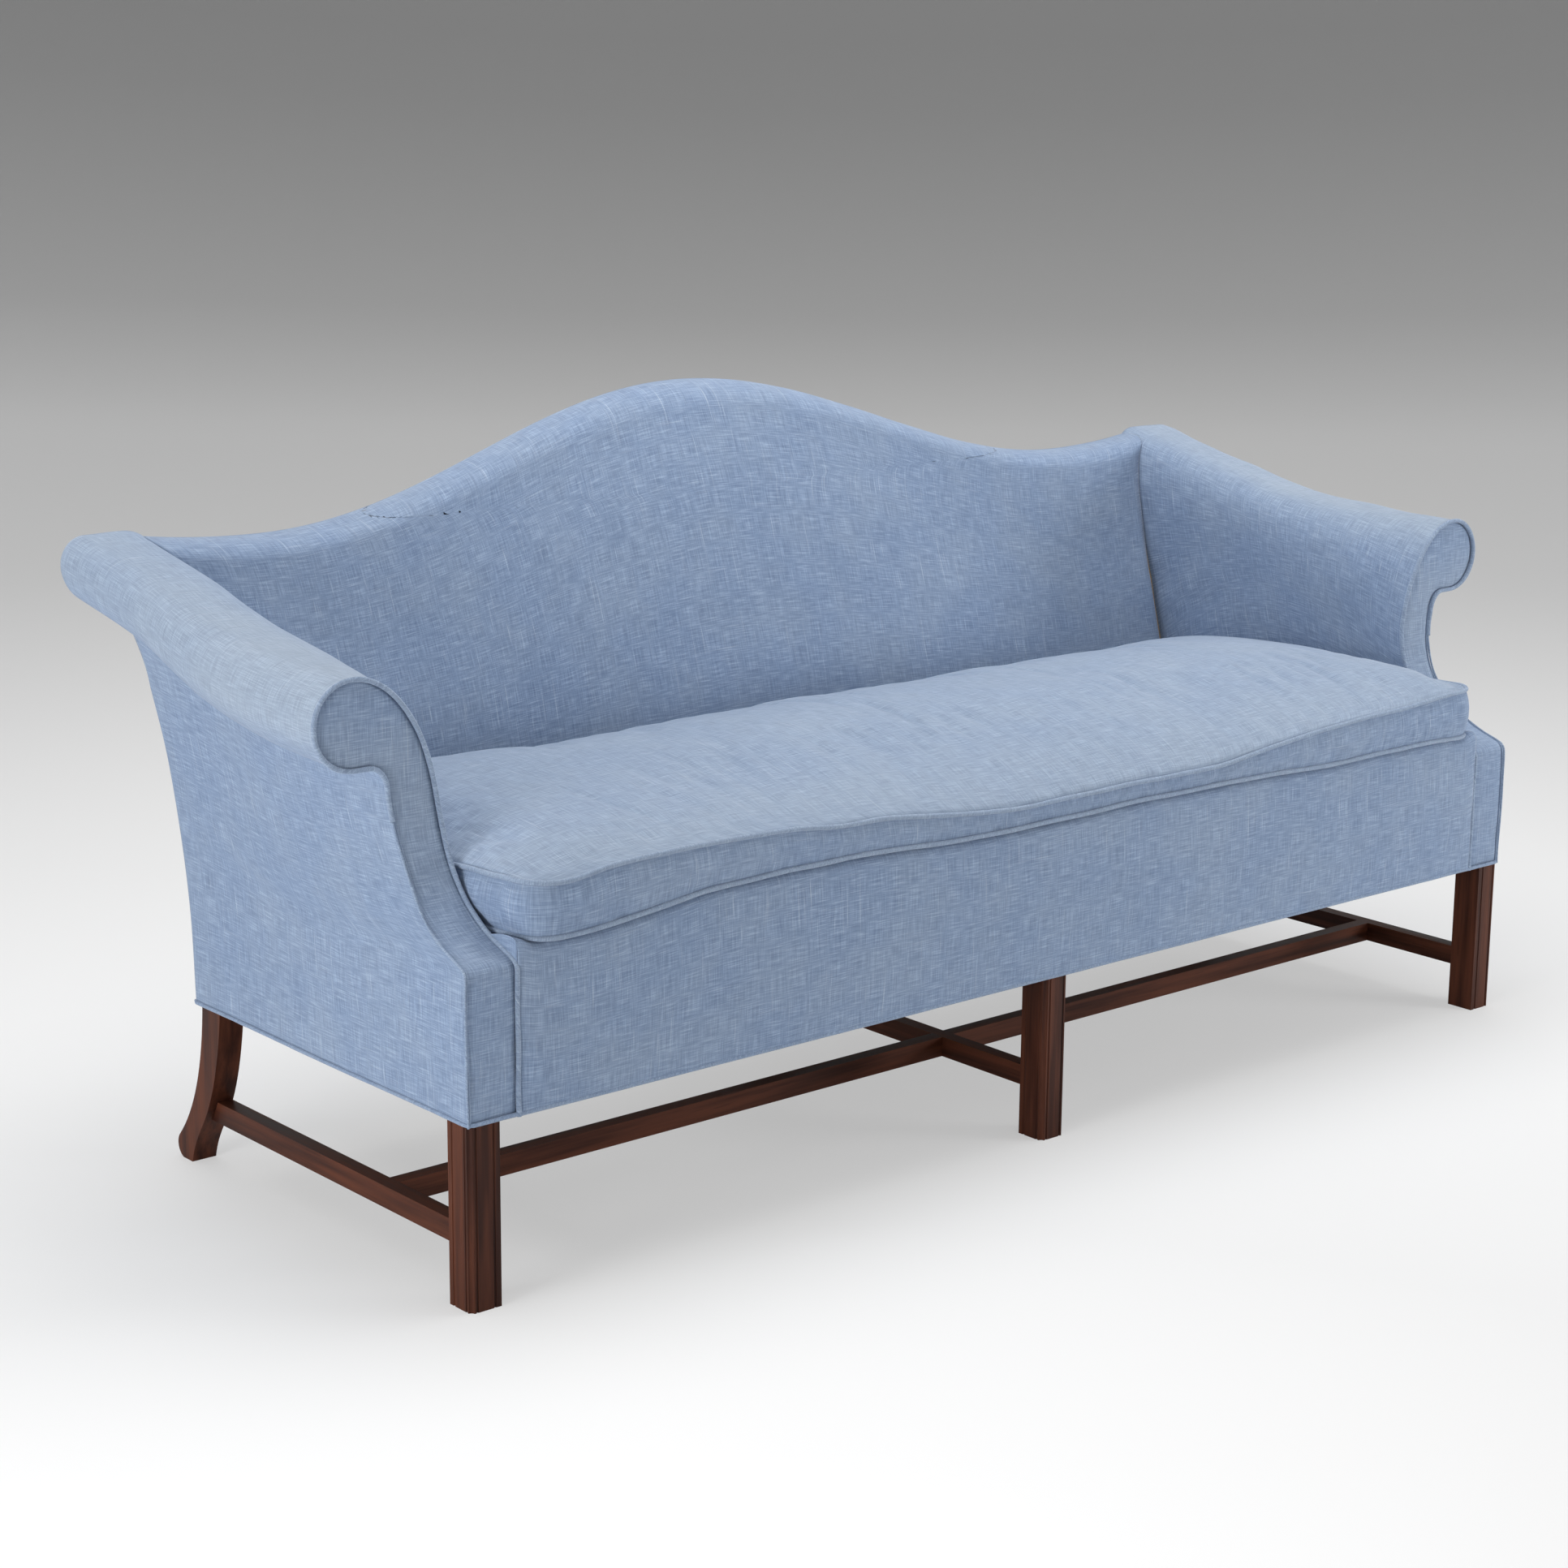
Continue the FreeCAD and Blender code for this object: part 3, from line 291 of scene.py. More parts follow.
def make_linen(name):
    """Threads both ways, slubs, faded patches, and wear and painted sheen, with a bump for the weave."""
    material, tree, shader = new_material(name, 0.92, Sheen_Weight=0.30, Sheen_Roughness=0.45,
                                          Sheen_Tint=(0.86, 0.91, 1.0, 1.0), Specular_IOR_Level=0.22)
    cloth = add_node(tree, "ShaderNodeAttribute", attribute_name="cloth").outputs["Vector"]
    wear_and_sheen_share = add_node(tree, "ShaderNodeAttribute", attribute_name="wear_and_sheen").outputs["Fac"]
    warp = stretched(tree, cloth, (760, 30, 1), 2.0, 3.0, 0.6)
    weft = stretched(tree, cloth, (30, 760, 1), 2.0, 17.0, 0.6)
    slub_down = between(tree, stretched(tree, cloth, (420, 9, 1), 2.0, 5.0), 0.62, 0.76)
    slub_across = between(tree, stretched(tree, cloth, (9, 440, 1), 2.0, 31.0), 0.63, 0.78)
    patch = stretched(tree, cloth, (9, 9, 1), 3.0, 41.0)
    threads = sums(tree, "ADD", warp, weft)
    colour = blend_colours(tree, between(tree, threads, 0.72, 1.30), linen_deep, linen_blue)
    layers = ((between(tree, weft, 0.50, 0.78, 0.0, 0.22), linen_pale),
              (sums(tree, "MULTIPLY", slub_down, 0.50), linen_pale),
              (sums(tree, "MULTIPLY", slub_across, 0.30), linen_pale),
              (between(tree, patch, 0.35, 0.70, 0.0, 0.16), linen_faded_and_sheen),
              # the wear value greys the linen: painted sheen and light on the arm and cushion tops, real wear
              # on the piping
              (sums(tree, "MULTIPLY", wear_and_sheen_share, 0.65), linen_faded_and_sheen))
    for share, over in layers:
        colour = blend_colours(tree, share, colour, over)
    weave_light = between(tree, threads, 0.70, 1.30, 0.85, 1.14, "LINEAR")
    colour = blend_colours(tree, 1.0, colour, weave_light, "MULTIPLY")
    tree.links.new(colour, shader.inputs["Base Color"])
    slubs = sums(tree, "ADD", slub_down, slub_across)
    height = sums(tree, "ADD", threads, sums(tree, "MULTIPLY", slubs, 0.8))
    add_bump(tree, shader, height, 0.35, 0.0005)
    return material


linen = make_linen("blue linen")
print("linen nodes", len(linen.node_tree.nodes))

# %% [markdown]
# The legs and stretchers are mahogany, stained dark and rubbed to a low shine. The figure is coarse noise and
# the pores are fine noise, both drawn out along the grain. Grain runs the long way of each piece, so there is
# one material for the upright legs and one for each level direction.

# %% Mahogany
mahogany_dark = (0.030, 0.0095, 0.0060, 1)
mahogany_red = (0.102, 0.032, 0.0165, 1)
fine_grains, coarse_grains = (420.0, 14.0), (60.0, 3.0)     # per metre, across the grain and along it


def make_mahogany(name, grain_axis):
    """Mahogany with its grain along x, y or z (0, 1, 2)."""
    material, tree, shader = new_material(name, 0.42, Specular_IOR_Level=0.13, Coat_Weight=0.03,
                                          Coat_Roughness=0.3)
    place = add_node(tree, "ShaderNodeTexCoord").outputs["Object"]
    fine, coarse = [fine_grains[0]] * 3, [coarse_grains[0]] * 3
    fine[grain_axis], coarse[grain_axis] = fine_grains[1], coarse_grains[1]
    pores = stretched(tree, place, fine, 3.0, 2.0)
    figure = stretched(tree, place, coarse, 3.0, 9.0)
    colour = blend_colours(tree, between(tree, figure, 0.32, 0.70), mahogany_dark, mahogany_red)
    colour = blend_colours(tree, between(tree, pores, 0.56, 0.72, 0.0, 0.55), colour, mahogany_dark)
    tree.links.new(colour, shader.inputs["Base Color"])
    tree.links.new(between(tree, figure, 0.3, 0.7, 0.36, 0.50), shader.inputs["Roughness"])
    add_bump(tree, shader, pores, 0.12, 0.0004)
    return material


mahogany_up = make_mahogany("mahogany upright", 2)
mahogany_across = make_mahogany("mahogany level", 0)
mahogany_back = make_mahogany("mahogany fore and aft", 1)

# %% [markdown]
# What the cloth hides still gets a plain finish of its own: sawn beech, drawn wire, jute, wadding and black
# cambric. One function makes them all from two colours and a noise.

# %% The plain finishes
def make_plain(name, colour, other, roughness, scale, bump_strength=0.2, **sockets):
    """Two colours mixed by a noise, which also gives the relief."""
    material, tree, shader = new_material(name, roughness, **sockets)
    place = add_node(tree, "ShaderNodeTexCoord").outputs["Object"]
    grain = stretched(tree, place, scale, 4.0, 6.0)
    mixed = blend_colours(tree, between(tree, grain, 0.35, 0.65), colour, other)
    tree.links.new(mixed, shader.inputs["Base Color"])
    add_bump(tree, shader, grain, bump_strength, 0.0006)
    return material


inner_finishes = {
    "frame_wood": make_plain("sawn beech", (0.42, 0.27, 0.14, 1), (0.56, 0.40, 0.23, 1), 0.65, (8, 160, 160)),
    "steel": make_plain("drawn steel", (0.30, 0.30, 0.31, 1), (0.42, 0.42, 0.43, 1), 0.32, (90, 90, 900),
                        0.08, Metallic=1.0),
    "jute": make_plain("jute", (0.30, 0.21, 0.11, 1), (0.48, 0.36, 0.21, 1), 0.95, (900,) * 3, 0.6),
    "stuffing": make_plain("wadding", (0.66, 0.62, 0.54, 1), (0.80, 0.77, 0.70, 1), 0.95, (120,) * 3, 0.8),
    "lining": make_plain("black cambric", (0.010, 0.010, 0.011, 1), (0.024, 0.024, 0.026, 1), 0.9, (700,) * 3,
                         0.5),
    "linen": linen,
    "mahogany": mahogany_up}
for entry in frame["record"]["subparts"]:
    inner = nodes[entry["node"]]
    inner.data.materials.clear()
    finish = inner_finishes[entry["material_slot"]]
    if entry["node"].startswith("long_stretcher"):
        finish = mahogany_across
    elif entry["node"].startswith(("side_stretcher", "middle_stretcher")):
        finish = mahogany_back
    inner.data.materials.append(finish)
print("finishes on", len(nodes), "frame parts")

# %% [markdown]
# ## The shape under the cloth
# Four curves give the whole sofa: the crest, the arm's section from the seat over the roll and down the
# outside, the arm front's profile, and the leaning planes of the back. Written as functions they serve every
# panel that meets along them, so the seams close. The arm changes along its length, so each of its sizes is a
# smooth line through five values, read from the front scroll (0) to the back (1).

# %% Smooth lines
def curve(knots, place):
    """A smooth line through (place, value) knots."""
    knots = np.asarray(knots, float)
    x, y = knots[:, 0], knots[:, 1]
    slope = np.gradient(y, x)
    i = np.clip(np.searchsorted(x, place) - 1, 0, len(x) - 2)
    h = x[i + 1] - x[i]
    u = np.clip((place - x[i]) / h, 0, 1)
    return ((2 * u ** 3 - 3 * u ** 2 + 1) * y[i] + (u ** 3 - 2 * u ** 2 + u) * h * slope[i]
            + (3 * u ** 2 - 2 * u ** 3) * y[i + 1] + (u ** 3 - u ** 2) * h * slope[i + 1])


def along_arm(values, s):
    """A size of the arm at s, from its five values."""
    return curve(list(zip((0, 0.25, 0.5, 0.75, 1), values)), np.clip(s, 0, 1))


# %% Arm section
roll_across = (0.993, 0.992, 0.987, 0.984, 0.993)
roll_height = (0.675, 0.681, 0.699, 0.740, 0.777)
roll_radius = (0.053, 0.052, 0.0486, 0.0430, 0.042)
fullness = (1.0, 0.62, 0.48, 0.40, 0.36)          # 1 is an ellipse, less is fuller in the shoulder
spring_height = (0.526, 0.580, 0.596, 0.558, 0.480)
neck_across = (0.024, 0.030, 0.036, 0.043, 0.050)
neck_height = (0.030, 0.045, 0.065, 0.090, 0.112)
stem_front = ((0, 0.948), (0.51, 0.948), (0.60, 0.9445), (0.76, 0.939), (0.87, 0.9425), (1, 0.949))
stem_back = ((0, 0.948), (0.30, 0.934), (0.59, 0.929), (0.80, 0.930), (1, 0.937))
tuck_height = 0.370


def roll_at(s):
    """Across place, height and radius of the roll."""
    return along_arm(roll_across, s), along_arm(roll_height, s), along_arm(roll_radius, s)


def inside_arm(s, t):
    """Across and height for t from 0, low down inside, through 1, the top of the roll, to 2, under it."""
    x_roll, z_roll, r = roll_at(s)
    z_spring = along_arm(spring_height, s)
    power = 2 / along_arm(fullness, s)
    rise_part = 0.30
    angle = np.clip((t - rise_part) / (1 - rise_part), 0, 1) * math.pi / 2
    c, q = np.cos(angle), np.sin(angle)
    size = (c ** power + q ** power) ** (1 / power)
    x = x_roll - (x_roll - arm_inner) * c / size
    z = np.where(t < rise_part, mix(tuck_height, z_spring, t / rise_part),
                 z_spring + (z_roll + r - z_spring) * q / size)
    roll_angle = math.pi / 2 - np.clip(t - 1, 0, 1) * math.pi
    on_roll = t > 1
    return (np.where(on_roll, x_roll + r * np.cos(roll_angle), x),
            np.where(on_roll, z_roll + r * np.sin(roll_angle), z))


def stem_at(s, share):
    """Across place of the outside panel at a share of its height."""
    return mix(curve(stem_front, share), curve(stem_back, share), smooth(s * 1.15))


def outside_arm(s, t):
    """Across and height for t from 0, under the roll, round the neck and down to the hem at 1."""
    x_roll, z_roll, r = roll_at(s)
    wide, tall = along_arm(neck_across, s), along_arm(neck_height, s)
    centre_x, centre_z = stem_at(s, np.ones_like(s * t)) + wide, z_roll - r - tall
    under, turn_part = 0.05, 0.20
    angle = math.pi / 2 * np.clip((t - under) / (turn_part - under), 0, 1)
    down = np.clip((t - turn_part) / (1 - turn_part), 0, 1)
    x = np.where(t < under, mix(x_roll, centre_x, t / under),
                 np.where(t < turn_part, centre_x - wide * np.sin(angle), stem_at(s, 1 - down)))
    z = np.where(t < under, z_roll - r,
                 np.where(t < turn_part, centre_z + tall * np.cos(angle), mix(centre_z, hem, down)))
    return x, z


def inside_arm_x(s, z):
    """Where the inside arm's surface is at a height."""
    x_roll, z_roll, r = roll_at(s)
    z_spring = along_arm(spring_height, s)
    power = 2 / along_arm(fullness, s)
    q = np.clip((z - z_spring) / (z_roll + r - z_spring), 0, 1)
    return x_roll - (x_roll - arm_inner) * np.clip(1 - q ** power, 0, 1) ** (1 / power)


# %% Arm front profile and the leaning planes
bend_height, bend_radius, slope_angle = 0.414, 0.014, math.radians(20)
cove_radius, setback = 0.170, 0.152


def profile_curve():
    """Depth and height up the arm front: upright, a bend, a short slope, then the cove."""
    corner_z = bend_height - bend_radius
    bend = np.linspace(math.pi, math.pi / 2 + slope_angle, 12)
    depth = [np.full(2, 0.0), bend_radius + bend_radius * np.cos(bend)]
    height = [np.array([hem, corner_z]), corner_z + bend_radius * np.sin(bend)]
    start = (depth[1][-1], height[1][-1])
    centre_depth = setback - cove_radius
    run = (centre_depth + cove_radius * math.sin(slope_angle) - start[0]) / math.cos(slope_angle)
    centre_height = start[1] + run * math.sin(slope_angle) + cove_radius * math.cos(slope_angle)
    cove = np.linspace(slope_angle - math.pi / 2, 0, 24)
    depth.append(centre_depth + cove_radius * np.cos(cove))
    height.append(centre_height + cove_radius * np.sin(cove))
    depth.append(np.array([setback]))
    height.append(np.array([1.0]))
    return np.concatenate(depth), np.concatenate(height)


profile_depth, profile_height = profile_curve()


def front_at(z):
    """Depth of the arm front at a height."""
    return np.interp(z, profile_height, profile_depth)


def back_at(z):
    """Depth of the outside back at a height."""
    return body_depth + lean * (z - hem)


def place_along(depth, z):
    """How far along the arm a point is: 0 at the scroll's front, 1 at the back."""
    return np.clip((depth - setback) / (back_at(z) - setback), 0, 1)


dip_height, dip_x, crest_half, end_rise = 0.799, 0.740, 0.926, 0.014


def crest_at(x):
    """Height of the crest: one wave of a cosine for the hump, then a low rise to the arm."""
    x = np.abs(x)
    hump = dip_height + (crest_top - dip_height) * (1 + np.cos(math.pi * np.minimum(x, dip_x) / dip_x)) / 2
    tail = dip_height + end_rise * ((x - dip_x) / (crest_half - dip_x)) ** 2
    return np.where(x < dip_x, hump, tail)


# %% [markdown]
# ## Inside arms
# One length of cloth runs from the seat up the inside of the arm, over the roll and under it. It is pulled
# tight over the stuffing, so it is nearly smooth, with faint draws towards the scroll. The back end of the
# roll is rounded over before it meets the outside back.

# %% Laying a panel along the arm
rounds = 6          # each round brings the points closer to the place along the arm that they ask for
sides = (("right", 1), ("left", -1))


def laid_along(section, t, share, start_gap, end_gap):
    """A section of the arm laid from the arm front to the back, t up the section and share along it."""
    front_z, rear_z = section(0 * t, t)[1], section(0 * t + 1, t)[1]
    start, end = front_at(front_z) + start_gap, back_at(rear_z) - end_gap
    depth, z = mix(start, end, share), mix(front_z, rear_z, share)
    for _ in range(rounds):
        s = place_along(depth, z)
        x, z = section(s, t)
    return s, x, depth, z, start, end


def dress_both(name, points, wear_and_sheen, cover, hidden):
    """The right arm's panel and its mirror image. The right one also stands for what both of them hide."""
    for side, sign in sides:
        panel = cloth_grid(name + " " + side, points * np.array([sign, 1, 1]), wear_and_sheen, flip=sign < 0)
        dress(panel, "sofa_frame", linen, "linen", cover + side, *([hidden] if sign > 0 else []))


# %% Inside arm covers
end_rounding = 0.010


def inside_arm_points(rows=170, columns=130):
    """The grid from low down inside, over the roll and under it, and the painted sheen on each point."""
    t, share = np.meshgrid(np.linspace(0, 2, rows), np.linspace(0, 1, columns), indexing="ij")
    s, x, depth, z, start, end = laid_along(inside_arm, t, share, 0.0, 0.002)
    near_end = np.clip(1 - (end - depth) / end_rounding, 0, 1)
    sink = end_rounding * (1 - np.sqrt(np.clip(1 - near_end ** 2, 0, 1)))
    x_roll, z_roll, r = roll_at(s)
    to_x, to_z = x_roll - x, z_roll - z
    length = np.maximum(np.hypot(to_x, to_z), 1e-6)
    only_roll = smooth((t - 0.7) / 0.3)
    x, z = x + to_x / length * sink * only_roll, z + to_z / length * sink * only_roll
    points = at(x, depth, z)
    fade = smooth(share / 0.06) * smooth((1 - share) / 0.05)
    soft = 0.0014 * ripple(points, 0.22, 11) + 0.0006 * ripple(points, 0.07, 12)
    points[..., 0] += soft * fade * np.where(t > 1, 1, -1)
    points[..., 2] += 0.8 * soft * fade * smooth((t - 0.8) / 0.3)
    # Painted sheen: the linen is greyed over the top of the roll, where the light from above falls, less
    # towards the back.
    wear_and_sheen = smooth((t - 0.55) / 0.35) * smooth((1.8 - t) / 0.3) * (1 - 0.35 * smooth((depth - 0.3) / 0.4))
    return points, 0.8 * wear_and_sheen


arm_points, arm_sheen = inside_arm_points()
dress_both("inside arm", arm_points, arm_sheen, "inside_arm_cover_", "inside_arm_pads")
print("inside arm points", arm_points.shape[:2])

# %% [markdown]
# ## Outside arms
# The outside panel starts under the roll, turns down the neck and drops to the hem, drawn in a little at mid
# height. Its front edge is turned under along the arm front, which leaves a fine rounded edge there. It is a
# grid like the inside arm, laid on the other half of the same section.

# %% Outside arm covers
turned_edge = 0.004


def outside_arm_points(rows=140, columns=110):
    """The grid from under the roll down to the hem, with its front and back edges turned."""
    t, share = np.meshgrid(np.linspace(0, 1, rows), np.linspace(0, 1, columns), indexing="ij")
    _, x, depth, z, start, end = laid_along(outside_arm, t, share, 0.0005, 0.001)
    near = np.clip(1 - np.minimum(depth - start, end - depth) / turned_edge, 0, 1)
    x = x - turned_edge * 0.6 * (1 - np.sqrt(np.clip(1 - near ** 2, 0, 1))) * smooth((t - 0.15) / 0.05)
    points = at(x, depth, z)
    fade = smooth(share / 0.08) * smooth((1 - share) / 0.08)
    fade = fade * smooth((t - 0.1) / 0.1) * smooth((1 - t) / 0.05)
    points[..., 0] += fade * (0.0014 * ripple(points, 0.30, 21) + 0.0005 * ripple(points, 0.09, 22))
    return points


outer_points = outside_arm_points()
dress_both("outside arm", outer_points, None, "outside_arm_cover_", "outside_arm_linings")
print("outside arm points", outer_points.shape[:2])

# %% [markdown]
# ## Arm fronts
# Each arm front is a narrow panel cut to the scroll's outline and drawn over a thin pad that follows the
# front profile. The outline is filled with even triangles, and every point is then pushed back to the
# profile, with the pad's swell growing from the edge inwards.

# %% Filling an outline
def outline_fill(outline, spacing):
    """Even triangles inside an outline, and each point's distance from its edge."""
    outline = np.asarray(outline)
    low, high = outline.min(0), outline.max(0)
    rows = int((high[1] - low[1]) / (spacing * 0.866)) + 1
    inner = []
    for i in range(rows):
        xs = np.arange(low[0] + (i % 2) * spacing / 2, high[0], spacing)
        inner += [(x, low[1] + i * spacing * 0.866) for x in xs]
    inner = np.array(inner)
    a, b = outline, np.roll(outline, -1, axis=0)

    def edge_distance(p):
        result = np.full(len(p), 1e9)
        for s, e in zip(a, b):
            way = e - s
            share = np.clip(((p - s) @ way) / max(way @ way, 1e-18), 0, 1)
            result = np.minimum(result, np.linalg.norm(p - s - share[:, None] * way, axis=1))
        return result

    crossings = np.zeros(len(inner), int)
    for s, e in zip(a, b):
        spans = (s[1] > inner[:, 1]) != (e[1] > inner[:, 1])
        height = e[1] - s[1] if e[1] != s[1] else 1e-12
        crossings += spans & (inner[:, 0] < s[0] + (inner[:, 1] - s[1]) / height * (e[0] - s[0]))
    keep = (crossings % 2 == 1) & (edge_distance(inner) > spacing * 0.45)
    inner = inner[keep]
    everything = [Vector(p) for p in np.vstack([outline, inner])]
    ring = [list(range(len(outline)))]
    verts, _, faces, _, _, _ = delaunay_2d_cdt(everything, [], ring, 1, 1e-7)
    verts = np.array([tuple(v) for v in verts])
    return verts, [tuple(f) for f in faces], edge_distance(verts)


def even_steps(points, spacing):
    """The same line with points an even distance apart."""
    points = np.asarray(points)
    lengths = run_length(points, 0)
    count = max(int(lengths[-1] / spacing), 2)
    places = np.linspace(0, lengths[-1], count + 1)
    return np.stack([np.interp(places, lengths, points[:, k]) for k in range(points.shape[1])], axis=-1)


# %% Arm facings
facing_spacing = 0.0045


def facing_outline():
    """The arm front's outline at the scroll's own depth, and its inner and outer edges."""
    t_in = np.linspace(0, 2, 400)
    x_in, z_in = inside_arm(0 * t_in, t_in)
    inner = [(arm_inner, hem)] + list(zip(x_in, z_in))
    t_out = np.linspace(0, 1, 300)
    x_out, z_out = outside_arm(0 * t_out, t_out)
    inner = even_steps(inner, facing_spacing)
    outer = even_steps(list(zip(x_out, z_out)), facing_spacing)
    bottom = even_steps([outer[-1], inner[0]], facing_spacing)
    return np.vstack([inner[:-1], outer[:-1], bottom[:-1]]), inner, outer


outline, inner_edge, outer_edge = facing_outline()
flat, facing_faces, from_edge = outline_fill(outline, facing_spacing)
z_flat = flat[:, 1]
swell = 0.0036 * np.clip(from_edge / 0.016, 0, 1) ** 0.6
facing_depth = front_at(z_flat) - swell + 0.0040
draws = ripple(flat * np.array([0.25, 1.0]), 0.018, 33) * np.exp(-((z_flat - 0.56) / 0.05) ** 2)
facing_depth += (0.0005 * ripple(flat, 0.06, 34) + 0.0006 * draws) * np.clip(from_edge / 0.01, 0, 1)
profile_run = np.concatenate([[0], np.cumsum(np.hypot(np.diff(profile_depth), np.diff(profile_height)))])
cloth_up = np.interp(z_flat, profile_height, profile_run)
facing_cloth = np.stack([flat[:, 0], cloth_up], axis=-1)
# Painted light: a paler band from the bend up to the scroll, where the arm front slopes back under the
# overhead lamp; the scroll above is left darker as painted shade.
facing_painted_light = 0.35 * smooth((0.70 - z_flat) / 0.1) * smooth((z_flat - 0.42) / 0.1)
for side, sign in sides:
    points = at(flat[:, 0] * sign, facing_depth, z_flat)
    faces = [f[::sign] for f in facing_faces]
    panel = make_piece("arm facing " + side, points, faces, facing_cloth, facing_painted_light)
    pads = ["arm_facing_pads"] if sign > 0 else []
    dress(panel, "sofa_frame", linen, "linen", "arm_facing_" + side, *pads)
print("facing triangles", len(facing_faces))

# %% [markdown]
# ## Inside back
# The inside back is one wide crowned pad. Its cloth comes up from behind the cushion, rolls over the crest
# and is sewn down behind. At each end it turns back into the crease beside the arm. Two profiles, one for the
# middle and one for the ends, say how far the face stands off a leaning plane, and the roll over the crest is
# one cubic curve.

# %% Inside back cover
back_foot = 0.385
face_lean = math.tan(math.radians(17.5))
face_depth_low, face_height_low = 0.602, 0.472
middle_face = ((0, 0.004), (0.25, -0.004), (0.55, -0.007), (0.78, -0.003), (0.90, 0.008), (0.96, 0.020),
               (1, 0.032))
end_face = ((0, 0.015), (0.18, 0.021), (0.5, 0.018), (0.705, 0.033), (0.91, 0.051), (0.97, 0.058), (1, 0.062))
crest_turn = 0.93
side_turn = 0.018
back_half_limit = 0.952
burlap_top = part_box("back_burlap")[1]
webbing_rear = burlap_top.y - front_y - 0.0035


def webbing_at(z):
    """Depth of the front of the webbing and burlap, which the stuffing always covers."""
    return webbing_rear + lean * (z - burlap_top.z)


def over_webbing(depth, z):
    """The depth, kept in front of the webbing by a soft minimum without a crease."""
    limit, softness = webbing_at(z) - 0.007, 0.008
    return -softness * np.logaddexp(-depth / softness, -limit / softness)


def face_depth(share, towards_end, top):
    """Depth of the inside back's face at a share of its height."""
    z = mix(back_foot, top, share)
    plane = face_depth_low + face_lean * (z - face_height_low)
    return plane + mix(curve(middle_face, share), curve(end_face, share), towards_end), z


def inside_back_points(rows=150, columns=240):
    """The grid from the foot up the face and over the crest, narrowed to fit between the arms."""
    u = np.linspace(-1, 1, columns)[None, :] * np.ones((rows, 1))
    u = np.sign(u) * (1 - (1 - np.abs(u)) ** 1.12)
    t = np.linspace(0, 1, rows)[:, None] * np.ones((1, columns))
    face_part = 0.84
    share = np.minimum(t / face_part, 1) * crest_turn
    over = np.clip((t - face_part) / (1 - face_part), 0, 1)
    half = np.full(u.shape, crest_half - 0.02)
    for _ in range(rounds):
        x = u * half
        top = crest_at(x)
        towards_end = smooth(np.abs(x) / 0.86)
        depth, z = face_depth(share, towards_end, top)
        low_depth, low_z = face_depth(share - 0.02, towards_end, top)
        depth, low_depth = over_webbing(depth, z), over_webbing(low_depth, low_z)
        way = np.stack([depth - low_depth, z - low_z])
        way = way / np.linalg.norm(way, axis=0)
        rear = back_at(top) - 0.002
        reach = np.maximum(rear - depth, 0.004)
        height = top - z
        b0, b1 = (1 - over) ** 3, 3 * over * (1 - over) ** 2
        b2, b3 = 3 * over ** 2 * (1 - over), over ** 3
        turned_depth = (b0 * depth + b1 * (depth + way[0] * height * 0.62) + b2 * (rear - reach * 0.5)
                        + b3 * rear)
        turned_z = b0 * z + b1 * (z + way[1] * height * 0.62) + b2 * top + b3 * (top - 0.004)
        depth, z = np.where(over > 0, turned_depth, depth), np.where(over > 0, turned_z, z)
        gap = 0.0065 * smooth((0.72 - z) / 0.18)
        side = inside_arm_x(place_along(depth, z), z) - gap
        half = np.minimum(side, back_half_limit)
    reach_in = (1 - np.abs(u)) * half
    curl = np.clip(1 - reach_in / side_turn, 0, 1)
    curl_depth = side_turn * 1.3 * (1 - np.sqrt(np.clip(1 - curl ** 2, 0, 1)))
    curl_depth = np.clip(webbing_at(z) - 0.0015 - depth, 0, curl_depth)
    depth = depth + curl_depth * smooth((1.0 - t) / 0.25)
    points = at(x, depth, z)
    fade = smooth(reach_in / 0.05) * smooth((1 - t) / 0.06)
    points[..., 1] += fade * (0.0026 * ripple(points, 0.40, 51) + 0.0009 * ripple(points, 0.11, 52))
    points[..., 2] += fade * 0.0008 * ripple(points, 0.15, 53) * smooth((t - face_part) / 0.1)
    return points


back_points = inside_back_points()
inside_back = cloth_grid("inside back", back_points, flip=True)
dress(inside_back, "sofa_frame", linen, "linen", "inside_back_cover", "inside_back_pad")

# %% [markdown]
# ## Outside back
# The back of the sofa is one flat panel, drawn over a lining and blind-stitched along the crest and round
# the ends of the arm rolls. It is filled like the arm fronts, and it wanders a little in the middle, where
# the cloth spans open air.

# %% Outside back panel
panel_spacing, fill_spacing = 0.010, 0.011


def back_panel_outline(inset=0.004):
    """Along the crest, round the right roll's end, down the side, and the same mirrored."""
    top = [(x, crest_at(x) - inset) for x in np.linspace(-0.915, 0.915, 300)]
    t = np.linspace(0.95, 2.0, 90)
    x, z = inside_arm(0 * t + 1, t)
    x_roll, z_roll, r = (float(v) for v in roll_at(np.array(1.0)))
    shrink = 1 - (inset + 0.003) / r
    roll = [(x_roll + (a - x_roll) * shrink, z_roll + (b - z_roll) * shrink) for a, b in zip(x, z)]
    roll = [point for point in roll if point[0] > 0.925]
    t = np.linspace(0.02, 1, 160)
    x, z = outside_arm(0 * t + 1, t)
    down = [(a - inset * 0.7, b + inset * (1 - s) * 0.8) for a, b, s in zip(x, z, t)]
    side = roll + down
    left = [(-a, b) for a, b in side[::-1]]
    ring = even_steps(top + side, panel_spacing)
    left_ring = even_steps(left, panel_spacing)
    bottom = even_steps([ring[-1], left_ring[0]], panel_spacing)
    return np.vstack([ring, bottom[1:-1], left_ring])


